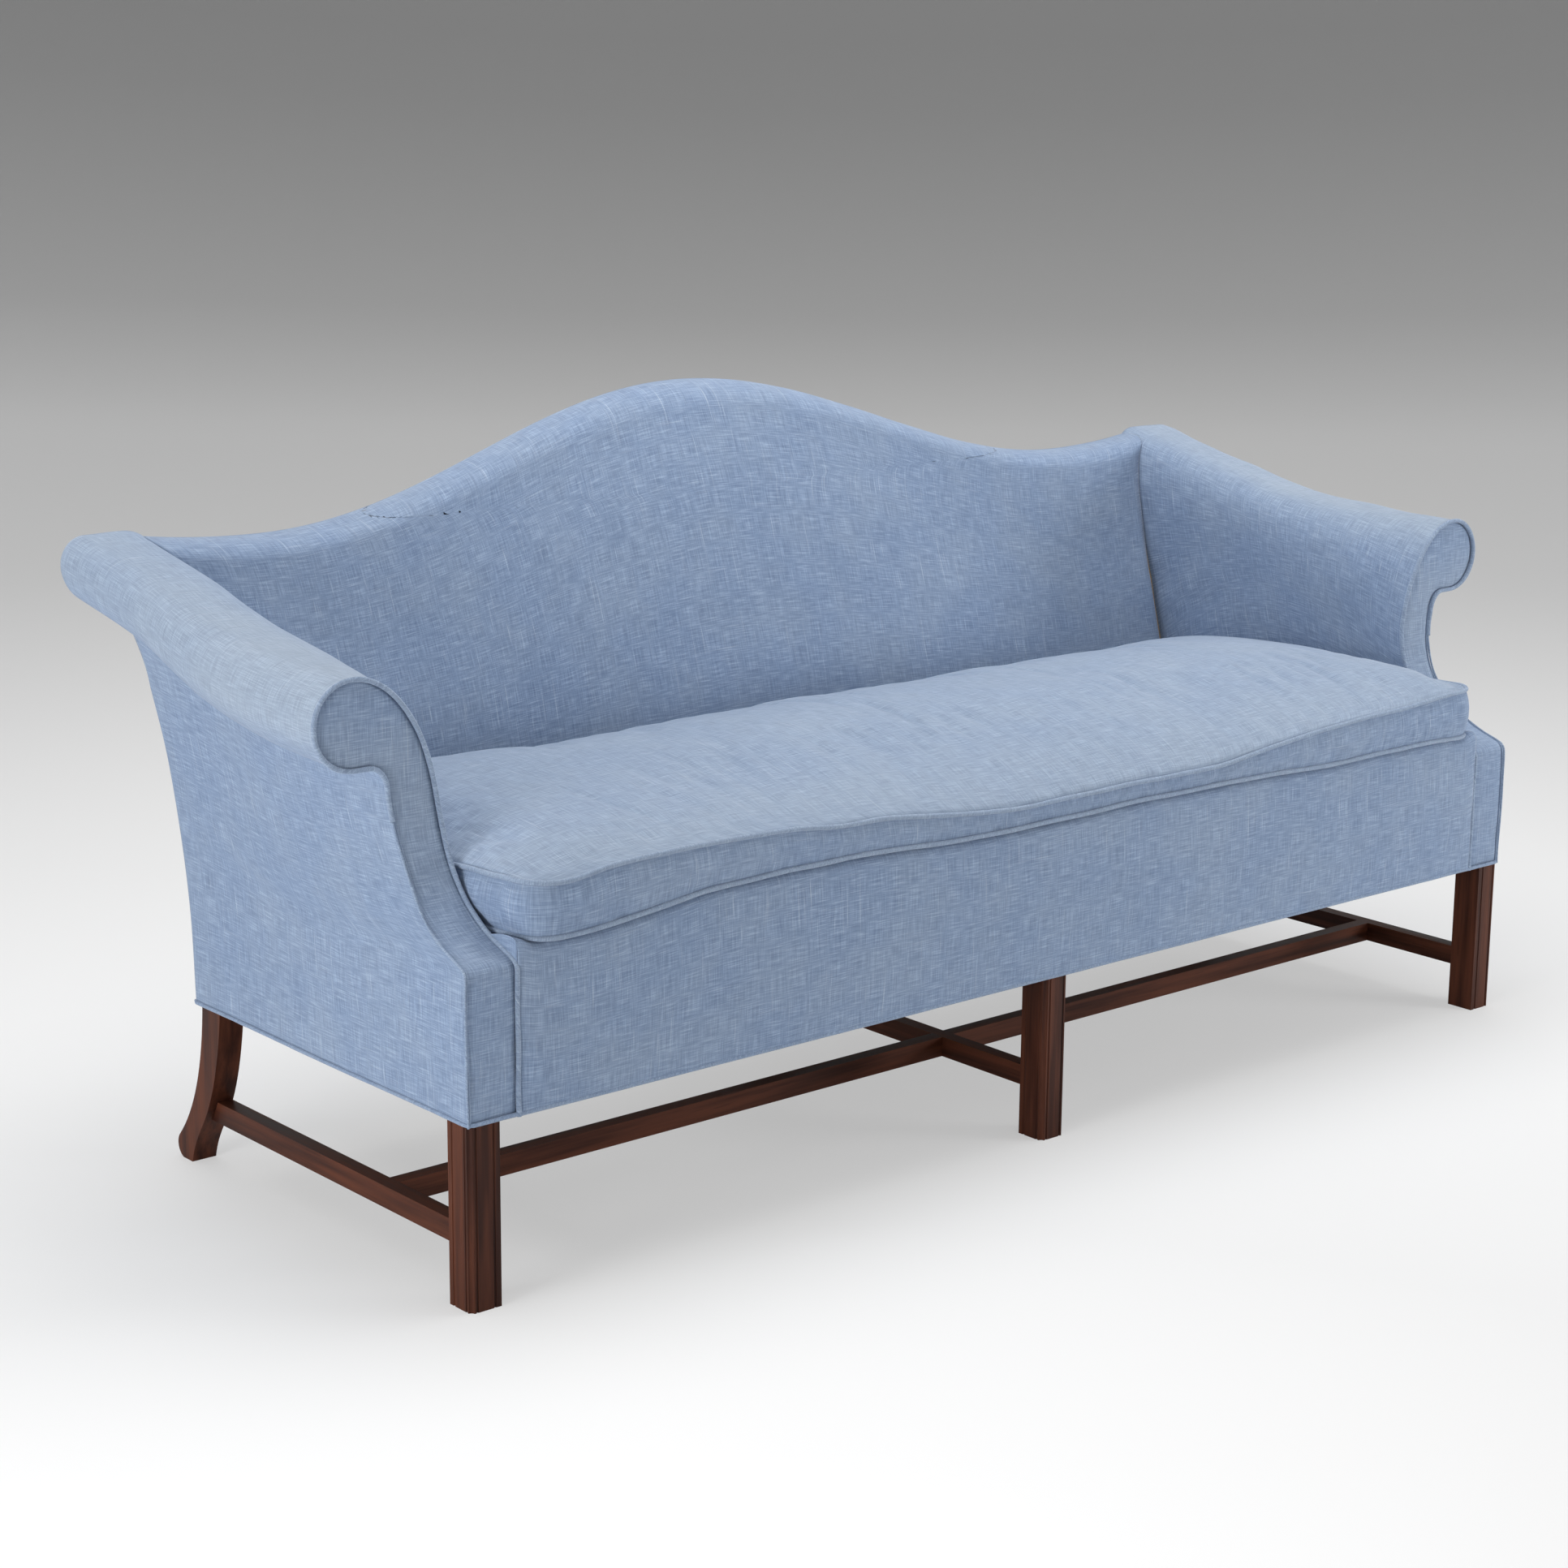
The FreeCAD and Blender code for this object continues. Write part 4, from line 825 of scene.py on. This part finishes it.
back_outline = back_panel_outline()
flat, faces, from_edge = outline_fill(back_outline, fill_spacing)
sag = 0.0025 * ripple(flat, 0.5, 61) + 0.0008 * ripple(flat, 0.12, 62)
edge_dip = 0.003 * (1 - np.clip(from_edge / 0.006, 0, 1))
depth = back_at(flat[:, 1]) - edge_dip + sag * np.clip(from_edge / 0.05, 0, 1) - 0.001
points = at(flat[:, 0], depth, flat[:, 1])
panel = make_piece("outside back", points, [f[::-1] for f in faces], flat)
dress(panel, "sofa_frame", linen, "linen", "outside_back_cover", "outside_back_lining")
print("outside back triangles", len(faces))

# %% [markdown]
# ## Front border and deck
# The border rises from the hem to the seat's front edge, rolls over it and runs back under the cushion as
# the deck. The edge is slack cloth over stuffing, so it wanders up and down by a centimetre or so. Its
# heights were read along the front, and the cushion's lower seam uses the same line.

# %% Front border and deck
bottom_wave = ((-0.880, 0.434), (-0.848, 0.431), (-0.791, 0.430), (-0.664, 0.441), (-0.595, 0.448),
               (-0.515, 0.450), (-0.435, 0.451), (-0.297, 0.448), (-0.163, 0.441), (-0.056, 0.441),
               (0.054, 0.442), (0.158, 0.444), (0.255, 0.443), (0.397, 0.442), (0.543, 0.437), (0.652, 0.439),
               (0.754, 0.439), (0.880, 0.437))
edge_roll = 0.011
deck_length = 0.590
deck_slope = math.tan(math.radians(2.5))


def border_points(rows=120, columns=280):
    """The grid up the front, over the rolled edge and back along the deck."""
    x = np.linspace(-1, 1, columns)[None, :] * (arm_inner - 0.0005)
    u = x / arm_inner
    t = np.linspace(0, 1, rows)[:, None]
    top = curve(bottom_wave, x) - 0.0045 + 0.005 * smooth((np.abs(x) - 0.850) / 0.026)
    up_part, turn_part = 0.52, 0.64
    up = np.clip(t / up_part, 0, 1)
    angle = np.clip((t - up_part) / (turn_part - up_part), 0, 1) * math.pi / 2
    back = np.clip((t - turn_part) / (1 - turn_part), 0, 1)
    z = np.where(t < up_part, mix(hem, top - edge_roll, up), top - edge_roll + edge_roll * np.sin(angle))
    depth = np.where(t < up_part, 0.0, edge_roll * (1 - np.cos(angle))) + back * deck_length
    deck_z = deck_front - 0.001 - deck_slope * depth
    z = np.where(t > turn_part, mix(z, deck_z, smooth(back / 0.12)), z)
    points = at(x * np.ones_like(t), depth, z)
    fade = smooth(t / 0.04) * smooth((1 - np.abs(u)) / 0.02)
    points[..., 1] -= fade * (0.0040 * np.sin(math.pi * np.clip(t / up_part, 0, 1)) * (t < up_part)
                              + 0.0012 * ripple(points, 0.25, 72) + 0.0007 * ripple(points, 0.08, 73))
    return points


border = cloth_grid("front border and deck", border_points())
dress(border, "sofa_frame", linen, "linen", "front_border", "deck_cover", "front_border_padding",
      "deck_pad")
print("border wave", min(z for _, z in bottom_wave), "to", max(z for _, z in bottom_wave))

# %% [markdown]
# Above the bend the arm front slopes away behind the border, which leaves the border's end open there. A
# small gusset in the plane of the arm's inner side closes it.

# %% Border ends
def border_end_points(rows=24, columns=30):
    """An upright grid that ends at the top in the border's own roll."""
    depth = np.linspace(0.0006, 0.085, columns)[None, :] * np.ones((rows, 1))
    t = np.linspace(0, 1, rows)[:, None]
    roll_in = np.clip(1 - depth / edge_roll, 0, 1)
    front_top = float(curve(bottom_wave, np.array(arm_inner))) + 0.0005
    top = front_top - edge_roll * (1 - np.sqrt(1 - roll_in ** 2)) - 0.010 * smooth((depth - 0.02) / 0.06)
    return at(arm_inner + 0.0003, depth, mix(0.395, top, t))


for side, sign in sides:
    points = border_end_points() * np.array([sign, 1, 1])
    gusset = cloth_grid("border end " + side, points, flip=sign > 0)
    dress(gusset, "sofa_frame", linen, "linen")

# %% [markdown]
# ## Piping
# Piping is a cord in a folded strip of the same cloth. It edges each arm front from the hem, over the scroll
# and back under it, it runs round the hem, and it edges the cushion. A tube along a line does it. A curve
# object with a bevel would be shorter to write, but here each ring is built one by one, because the weave's
# measures have to run along the tube.

# %% Tube along a line
def tube(name, line, radius, sides=12, closed=False, wobble=0.0, wear_and_sheen=0.0):
    """A round cord along a line, with rings that don't twist and a thickness that wobbles."""
    line = np.asarray(line, float)
    count = len(line)
    ahead_points, behind_points = np.roll(line, -1, axis=0), np.roll(line, 1, axis=0)
    if not closed:
        ahead_points[-1], behind_points[0] = line[-1], line[0]
    tangent = ahead_points - behind_points
    tangent /= np.linalg.norm(tangent, axis=1, keepdims=True)
    normal = np.zeros_like(tangent)
    start = np.cross(tangent[0], (0.3, 0.2, 0.93))
    normal[0] = start / np.linalg.norm(start)
    for k in range(1, count):
        step = normal[k - 1] - tangent[k] * (normal[k - 1] @ tangent[k])
        normal[k] = step / np.linalg.norm(step)
    if closed:
        other = np.cross(tangent[0], normal[0])
        twist = math.atan2(normal[-1] @ other, normal[-1] @ normal[0])
        for k in range(count):
            angle = -twist * k / (count - 1)
            normal[k] = normal[k] * math.cos(angle) + np.cross(tangent[k], normal[k]) * math.sin(angle)
    binormal = np.cross(tangent, normal)
    angles = np.linspace(0, 2 * math.pi, sides, endpoint=False)
    size = radius * (1 + wobble * ripple(line, 0.05, 5))
    ring = normal[:, None] * np.cos(angles)[:, None] + binormal[:, None] * np.sin(angles)[:, None]
    points = line[:, None] + ring * size[:, None, None]
    length = run_length(line, 0)
    cloth = np.stack([np.broadcast_to(angles * radius, (count, sides)) + length[:, None] * 0.7,
                      np.broadcast_to(length[:, None], (count, sides))], axis=-1)
    faces = grid_faces(count, sides, flip=True, close_rows=closed, close_columns=True)
    if not closed:
        faces.append(tuple(range(sides)))
        faces.append(tuple((count - 1) * sides + k for k in reversed(range(sides))))
    return make_piece(name, points, faces, cloth, np.full(count * sides, wear_and_sheen), thickness=0)


# %% Facing piping
welt_radius, seam_radius = 0.0031, 0.0016


def facing_line(path, forward):
    """A line on the arm front, from its across-and-height path."""
    line = at(path[:, 0], front_at(path[:, 1]) - forward, path[:, 1])
    line = even_steps(line, 0.004)
    line[:, 1] += 0.0005 * ripple(line, 0.06, 81)
    line[:, 0] += 0.0004 * ripple(line, 0.09, 82)
    return line


neck_end = int(len(outer_edge) * 0.24)
welt_line = facing_line(np.vstack([inner_edge, outer_edge[1:neck_end]]), 0.0002)
seam_line = facing_line(outer_edge[neck_end - 8:], -0.0006)
for side, sign in sides:
    flip = np.array([sign, 1, 1])
    welt = tube("facing piping " + side, welt_line * flip, welt_radius, wobble=0.05, wear_and_sheen=0.3)
    dress(welt, "sofa_frame", linen, "linen", "facing_welt_" + side)
    seam = tube("facing seam " + side, seam_line * flip, seam_radius, sides=8, wobble=0.15, wear_and_sheen=0.2)
    dress(seam, "sofa_frame", linen, "linen")


# %% Hem piping
def hem_line(out, z):
    """Round the body at the hem, with its four corners turned."""
    x, y0, y1, r = half_width + out, -out, back_at(hem) + out, 0.007 + out
    corners = [(x - r, y1 - r, 0), (-x + r, y1 - r, 90), (-x + r, y0 + r, 180), (x - r, y0 + r, 270)]
    points = []
    for cx, cy, first in corners:
        for angle in np.radians(np.linspace(first, first + 90, 7)):
            points.append((cx + r * math.cos(angle), cy + r * math.sin(angle)))
    points.append(points[0])
    points = even_steps(np.array(points), 0.008)[:-1]
    return at(points[:, 0], points[:, 1], z)


hem_radius = 0.0026
hem_path = hem_line(0.0006, hem + hem_radius)
hem_path[:, 2] += 0.0006 * ripple(hem_path, 0.30, 91)
hem_piping = tube("hem piping", hem_path, hem_radius, closed=True, wobble=0.06, wear_and_sheen=0.15)
print("hem piping points", len(hem_path))
dress(hem_piping, "sofa_frame", linen, "linen", "hem_welt")

# %% [markdown]
# ## The bench cushion
# One long cushion fills the seat. It is a box of cloth, tight at its piped seams and crowned between them,
# and years of sitting have pulled its front edge down in the middle. The two seams are drawn first, from the
# heights read along the front. A grid is laid over the top and the bottom, the boxing joins the two grids'
# rims, and so the whole cushion is one closed mesh whose seams lie on rows of its own points.

# %% Cushion seams
cushion_half = 0.868
cushion_front, cushion_back = -0.006, 0.578
corner_radius = 0.036
back_seams = (0.409, 0.477)
top_wave = ((-0.880, 0.500), (-0.856, 0.499), (-0.807, 0.496), (-0.749, 0.503), (-0.664, 0.506),
            (-0.577, 0.5055), (-0.488, 0.503), (-0.395, 0.495), (-0.296, 0.490), (-0.207, 0.479),
            (-0.109, 0.470), (-0.020, 0.4685), (0.108, 0.4705), (0.205, 0.470), (0.303, 0.4705),
            (0.378, 0.478), (0.496, 0.490), (0.625, 0.497), (0.748, 0.503), (0.839, 0.509), (0.880, 0.508))


def top_seam(x, y):
    """Height of the upper seam: the front's wave, levelling out towards the back."""
    return mix(curve(top_wave, x), back_seams[1], smooth((y - cushion_front) / 0.50))


def bottom_seam(x, y):
    """Height of the lower seam, in the same way."""
    return mix(curve(bottom_wave, x), back_seams[0], smooth((y - cushion_front) / 0.55))


# %% Cushion grid
grid_columns, grid_rows, boxing_rows = 236, 84, 15


def cushion_plan():
    """Plan of the top and bottom grids, and the seam loop as places in the grid."""
    u, v = np.linspace(-1, 1, grid_columns), np.linspace(-1, 1, grid_rows)
    u = np.sign(u) * (1 - (1 - np.abs(u)) ** 1.12)
    v = np.sign(v) * (1 - (1 - np.abs(v)) ** 1.2)
    uu, vv = np.meshgrid(u, v)
    middle, half_depth = (cushion_front + cushion_back) / 2, (cushion_back - cushion_front) / 2
    into_corner = np.clip((np.abs(vv) * half_depth - half_depth + corner_radius) / corner_radius, 0, 1)
    xx = uu * (cushion_half - corner_radius * (1 - np.sqrt(1 - into_corner ** 2)))
    yy = middle + vv * half_depth
    pull = 0.006 * (1 - (xx / cushion_half) ** 2) * vv ** 2
    yy = yy + np.where(vv < 0, pull, -0.3 * pull)
    xx = xx - np.sign(uu) * 0.004 * (1 - vv ** 2) * uu ** 2
    xx = xx - np.sign(uu) * 0.008 * np.clip(-vv, 0, 1) ** 5 * uu ** 6
    grid = np.arange(grid_rows * grid_columns).reshape(grid_rows, grid_columns)
    loop = np.concatenate([grid[0], grid[1:, -1], grid[-1, -2::-1], grid[-2:0:-1, 0]])
    return xx, yy, uu, vv, loop


xx, yy, uu, vv, seam_loop = cushion_plan()
crown_shape = (1 - np.abs(vv) ** 2.4) ** 0.66 * (1 - np.abs(uu) ** 12) ** 0.5
flat_plan = np.stack([xx, yy], -1)
peak = 0.553 - 0.010 * np.abs(uu) ** 3 + 0.003 * ripple(flat_plan, 0.55, 101)
top_z = top_seam(xx, yy) + (peak - top_seam(xx, yy)) * crown_shape
bottom_z = bottom_seam(xx, yy) - 0.006 * crown_shape
sunk = np.clip((0.503 - curve(top_wave, xx)) / 0.035, 0, 1)
overhang = 0.003 * sunk * np.sin(math.pi * np.clip((vv + 1) / 0.16, 0, 1))
top_points = at(xx, yy - overhang, top_z)
bottom_points = at(xx, yy, bottom_z)
rim_top, rim_bottom = top_points.reshape(-1, 3)[seam_loop], bottom_points.reshape(-1, 3)[seam_loop]
rim_length = run_length(rim_top, 0)
rim_way = np.roll(rim_top, -1, axis=0) - np.roll(rim_top, 1, axis=0)
rim_out = np.stack([rim_way[:, 1], -rim_way[:, 0], 0 * rim_way[:, 0]], -1)
rim_out /= np.linalg.norm(rim_out, axis=1, keepdims=True)
rise = np.linspace(0, 1, boxing_rows)[1:-1, None]
at_end = smooth((np.abs(rim_top[:, 0]) - 0.84) / 0.03)[None, :]
at_back = smooth((rim_top[:, 1] - front_y - 0.54) / 0.02)[None, :]
boxing_height = np.linalg.norm(rim_top - rim_bottom, axis=1)[None, :]
boxing_swell = 0.0065 * np.sin(math.pi * rise) ** 0.8 * (1 + 0.3 * ripple(rim_top[:, :2], 0.4, 111))[None, :]
boxing_swell = boxing_swell * (1 - at_back) * (1 + 0.3 * at_end) * (boxing_height / 0.07)
boxing_points = mix(rim_bottom[None], rim_top[None], rise[..., None])
boxing_points = boxing_points + boxing_swell[..., None] * rim_out[None]
print("cushion seam", round(float(rim_length[-1]), 3), "m")

# %% [markdown]
# The form so far is smooth, as if it were blown up. Real cloth is a little too long for its seams, so it
# buckles beside them. The cloth simulation does that: the seams are pinned, the cloth is let out by a small
# share, and air pressure fills it. Only its fine folds are kept, and how far they may move a point is capped,
# because the large shape was measured and should stay.

# %% Cushion mesh and its folds
face_count = grid_rows * grid_columns
ring_size = len(seam_loop)


def stack_points(*grids):
    """One list of points from several grids."""
    return np.vstack([grid.reshape(-1, 3) for grid in grids])


cushion_points = stack_points(top_points, bottom_points, boxing_points)
top_faces = grid_faces(grid_rows, grid_columns, flip=True)
bottom_faces = [tuple(k + face_count for k in face) for face in grid_faces(grid_rows, grid_columns)]
ring_rows = [seam_loop + face_count]
ring_rows += [2 * face_count + k * ring_size + np.arange(ring_size) for k in range(boxing_rows - 2)]
ring_rows += [seam_loop]
boxing_faces = []
for low_row, high_row in zip(ring_rows, ring_rows[1:]):
    for k in range(ring_size):
        m = (k + 1) % ring_size
        boxing_faces.append((int(low_row[k]), int(low_row[m]), int(high_row[m]), int(high_row[k])))


let_out, air_pressure, last_frame = 0.016, 2.5, 20


def settle(points, faces, pinned):
    """The same points after the cloth has settled between its pinned seams."""
    mesh = bpy.data.meshes.new("settling")
    mesh.from_pydata([tuple(p) for p in points], [], faces)
    piece = bpy.data.objects.new("settling", mesh)
    bpy.context.scene.collection.objects.link(piece)
    seams = piece.vertex_groups.new(name="seams")
    seams.add([int(k) for k in pinned], 1.0, "REPLACE")
    cloth = piece.modifiers.new("cloth", "CLOTH")
    values = {"quality": 5, "mass": 0.25, "tension_stiffness": 18, "compression_stiffness": 18,
              "shear_stiffness": 6, "bending_stiffness": 0.35, "vertex_group_mass": "seams",
              "shrink_min": -let_out, "use_pressure": True, "uniform_pressure_force": air_pressure}
    for key, value in values.items():
        setattr(cloth.settings, key, value)
    cloth.settings.effector_weights.gravity = 0
    cloth.point_cache.frame_end = last_frame + 5
    scene = bpy.context.scene
    for frame_number in range(1, last_frame + 1):
        scene.frame_set(frame_number)
    shape = piece.evaluated_get(bpy.context.evaluated_depsgraph_get())
    settled = np.empty(len(points) * 3)
    shape.data.vertices.foreach_get("co", settled)
    scene.frame_set(1)
    bpy.data.objects.remove(piece)
    return settled.reshape(-1, 3)


def smoothed(values, size):
    """A grid with its small waves averaged out, by repeated box averages along both ways."""
    for axis in (0, 1):
        for _ in range(3):
            pad = [(0, 0)] * values.ndim
            pad[axis] = (size, size)
            total = np.cumsum(np.pad(values, pad, mode="edge"), axis=axis)
            low, high = [slice(None)] * values.ndim, [slice(None)] * values.ndim
            low[axis], high[axis] = slice(0, -2 * size), slice(2 * size, None)
            values = (total[tuple(high)] - total[tuple(low)]) / (2 * size)
    return values


top_fold_limit, boxing_fold_limit, smoothing_steps = 0.007, 0.006, 11
pinned = np.concatenate([np.arange(face_count, 2 * face_count), seam_loop])
settled = settle(cushion_points, top_faces + boxing_faces + bottom_faces, pinned)
moved = (settled - cushion_points)[:face_count].reshape(grid_rows, grid_columns, 3)
folds = moved - smoothed(moved, smoothing_steps)
keep = smooth((1 - np.abs(vv)) / 0.02) * smooth((1 - np.abs(uu)) / 0.01)
folds = top_fold_limit * np.tanh(folds / top_fold_limit) * keep[..., None]
top_points = top_points + folds
print("largest fold mm", round(float(np.abs(folds).max()) * 1000, 1))
moved = (settled - cushion_points)[2 * face_count:].reshape(boxing_rows - 2, ring_size, 3)
across = (moved * rim_out[None]).sum(-1)
folds = boxing_fold_limit * np.tanh((across - across.mean()) / boxing_fold_limit) * (1 - at_back)
boxing_points = boxing_points + folds[..., None] * rim_out[None]
cushion_points = stack_points(top_points, bottom_points, boxing_points)

# %% [markdown]
# The weave needs care at the boxing. Its threads run round the cushion and those of the top run straight, so
# the measures are kept for each corner of a face, and two panels that share a seam keep their own.

# %% Cushion cover
boxing_step = 0.005
across_top, along_top = run_length(top_points, 0).mean(axis=1), run_length(top_points, 1).mean(axis=0)
top_cloth = np.stack(np.broadcast_arrays(along_top[None, :], across_top[:, None]), -1).reshape(-1, 2)
corner_cloth = [tuple(top_cloth[k]) for face in top_faces for k in face]
corner_cloth += [tuple(top_cloth[k - face_count]) for face in bottom_faces for k in face]
rim_places = np.append(rim_length, rim_length[-1] + 0.006)
for number in range(boxing_rows - 1):
    low_up, high_up = boxing_step * number, boxing_step * (number + 1)
    for a, c in zip(rim_places, rim_places[1:]):
        corner_cloth += [(a, low_up), (c, low_up), (c, high_up), (a, high_up)]
mesh = bpy.data.meshes.new("bench_cushion")
mesh.from_pydata([tuple(p) for p in cushion_points], [], top_faces + bottom_faces + boxing_faces)
mesh.polygons.foreach_set("use_smooth", [True] * len(mesh.polygons))
layer = mesh.attributes.new("cloth", "FLOAT_VECTOR", "CORNER")
corner_values = np.zeros((len(corner_cloth), 3), np.float32)
corner_values[:, :2] = corner_cloth
layer.data.foreach_set("vector", corner_values.ravel())
wear_and_sheen = np.zeros(len(cushion_points))
# Painted sheen on the cushion top, greyer towards the front where the crown faces the light; the boxing and
# the bottom get none.
wear_and_sheen[:face_count] = (0.35 + 0.2 * smooth((0.14 - yy) / 0.12)).ravel()
add_attribute(mesh, "wear_and_sheen", wear_and_sheen)
cushion = bpy.data.objects.new("bench_cushion", mesh)
bpy.context.scene.collection.objects.link(cushion)
finer = cushion.modifiers.new("finer", "SUBSURF")
finer.levels = finer.render_levels = 1
dress(cushion, "seat_cushion", linen, "linen", "cushion_cover", "cushion_core")
print("cushion faces", len(mesh.polygons))

# %% [markdown]
# The piping goes on last, along the two pinned seams. It stands a little outside them and wanders by less
# than a millimetre, as a hand-fed cord does.

# %% Cushion piping
def seam_piping(name, rim, *replaced):
    """Piping along a seam of the cushion."""
    line = rim + rim_out * 0.0016
    line = even_steps(np.vstack([line, line[:1]]), 0.005)[:-1]
    line[:, 2] += 0.0007 * ripple(line, 0.07, 121)
    piping = tube(name, line, welt_radius, closed=True, wobble=0.06, wear_and_sheen=0.4)
    return dress(piping, "seat_cushion", linen, "linen", *replaced)


seam_piping("cushion piping top", rim_top, "cushion_welts")
seam_piping("cushion piping bottom", rim_bottom + np.array([0, 0, 0.001]))

# %% [markdown]
# ## Light and floor
# A large soft lamp overhead makes the seat and the arm tops the palest parts. A card low on the left lights
# the outside arm, and one at the front right opens the front. The world fills the rest with plain grey.

# %% Lamps
def lamp(name, place, aim, size, power):
    """A rectangular soft lamp, turned towards a point."""
    data = bpy.data.lights.new(name, "AREA")
    data.shape = "RECTANGLE"
    data.size, data.size_y = size
    data.energy = power
    light = bpy.data.objects.new(name, data)
    light.location = place
    light.rotation_euler = (Vector(aim) - Vector(place)).to_track_quat("-Z", "Y").to_euler()
    bpy.context.scene.collection.objects.link(light)


lamp("overhead", (0.2, 0.1, 3.3), (0.1, -0.1, 0.4), (3.4, 2.2), 92)
lamp("left card", (-3.5, -0.5, 0.75), (-0.9, 0.0, 0.5), (1.5, 1.0), 52)
lamp("front right", (3.2, -3.4, 0.85), (0.9, 0.0, 0.35), (1.4, 1.0), 78)

world = bpy.data.worlds.new("studio")
bpy.context.scene.world = world
world.use_nodes = True
tree = world.node_tree
background = tree.nodes["Background"]
sky_light = (0.40, 0.40, 0.40, 1)
wall_grey = (0.205, 0.205, 0.205, 1)
rays = add_node(tree, "ShaderNodeLightPath")
seen = sums(tree, "MAXIMUM", rays.outputs["Is Camera Ray"], rays.outputs["Is Transmission Ray"])
tree.links.new(blend_colours(tree, seen, sky_light, wall_grey), background.inputs["Color"])

# %% [markdown]
# The floor is one large dish: flat under the sofa and curving up far behind. It is a plain matt white that
# takes the shadows. For the camera alone it also glows a little, which lifts the shadows to the pale grey of
# a bright studio, and the glow fades with distance so that the far side falls off to grey.

# %% Floor dish
flat_radius, bend, wall_top = 4.6, 3.2, 3.0
flat_rings, turns_count = 40, 96


def floor_dish():
    """Rings of points, level at first and then up a quarter circle."""
    climb = np.linspace(0, math.pi / 2, 24)[1:]
    radii = np.concatenate([np.linspace(0, 1, flat_rings) * flat_radius, flat_radius + bend * np.sin(climb)])
    heights = np.concatenate([np.zeros(flat_rings), bend * (1 - np.cos(climb))])
    keep = heights < wall_top
    radii, heights = radii[keep][1:], heights[keep][1:]
    turns = np.linspace(0, 2 * math.pi, turns_count, endpoint=False)
    points = [(0.0, 0.0, 0.0)]
    for r, h in zip(radii, heights):
        points += [(r * math.cos(a), r * math.sin(a), h) for a in turns]
    faces = [(0, 1 + k, 1 + (k + 1) % turns_count) for k in range(turns_count)]
    rings = grid_faces(len(radii), turns_count, close_columns=True)
    faces += [tuple(1 + k for k in face) for face in rings]
    mesh = bpy.data.meshes.new("floor")
    mesh.from_pydata(points, [], faces)
    mesh.polygons.foreach_set("use_smooth", [True] * len(faces))
    floor = bpy.data.objects.new("floor", mesh)
    bpy.context.scene.collection.objects.link(floor)
    return floor


floor = floor_dish()
print("floor faces", len(floor.data.polygons))

# %% Floor material
glow_centre = (-1.4, -1.6)
floor_white, floor_shade, wall_shade = 0.80, 0.42, 0.24
floor_glow = ((0.06, 0.56), (0.15, 0.42), (0.26, 0.44), (0.36, 0.405), (0.52, 0.34), (0.70, 0.265),
              (0.79, 0.215), (0.85, 0.12), (0.93, 0.08))     # share of ten metres, and the glow there
material, tree, shader = new_material("pale floor", 0.9, Specular_IOR_Level=0.1)
place = add_node(tree, "ShaderNodeTexCoord").outputs["Object"]
centred = add_node(tree, "ShaderNodeMapping",
                   {"Vector": place, "Location": (-glow_centre[0], -glow_centre[1], 0)})
away = add_node(tree, "ShaderNodeVectorMath", {0: centred.outputs["Vector"]}, operation="LENGTH")
reach = away.outputs["Value"]
rays = add_node(tree, "ShaderNodeLightPath").outputs["Is Camera Ray"]
far_grey = between(tree, reach, 7.8, 9.5, floor_shade, wall_shade, "LINEAR")
shade = blend_colours(tree, rays, (floor_white, floor_white, floor_white, 1), far_grey)
tree.links.new(shade, shader.inputs["Base Color"])
glow = add_node(tree, "ShaderNodeValToRGB", {"Fac": between(tree, reach, 0.0, 10.0, 0.0, 1.0, "LINEAR")})
ramp = glow.color_ramp
ramp.elements[0].position, ramp.elements[1].position = floor_glow[0][0], floor_glow[-1][0]
for position, _ in floor_glow[1:-1]:
    ramp.elements.new(position)
for element, (position, value) in zip(ramp.elements, floor_glow):
    element.position = position
    element.color = (value, value, value, 1)
tree.links.new(glow.outputs["Color"], shader.inputs["Emission Color"])
tree.links.new(rays, shader.inputs["Emission Strength"])
floor.data.materials.append(material)

bpy.context.scene.view_settings.view_transform = "Standard"
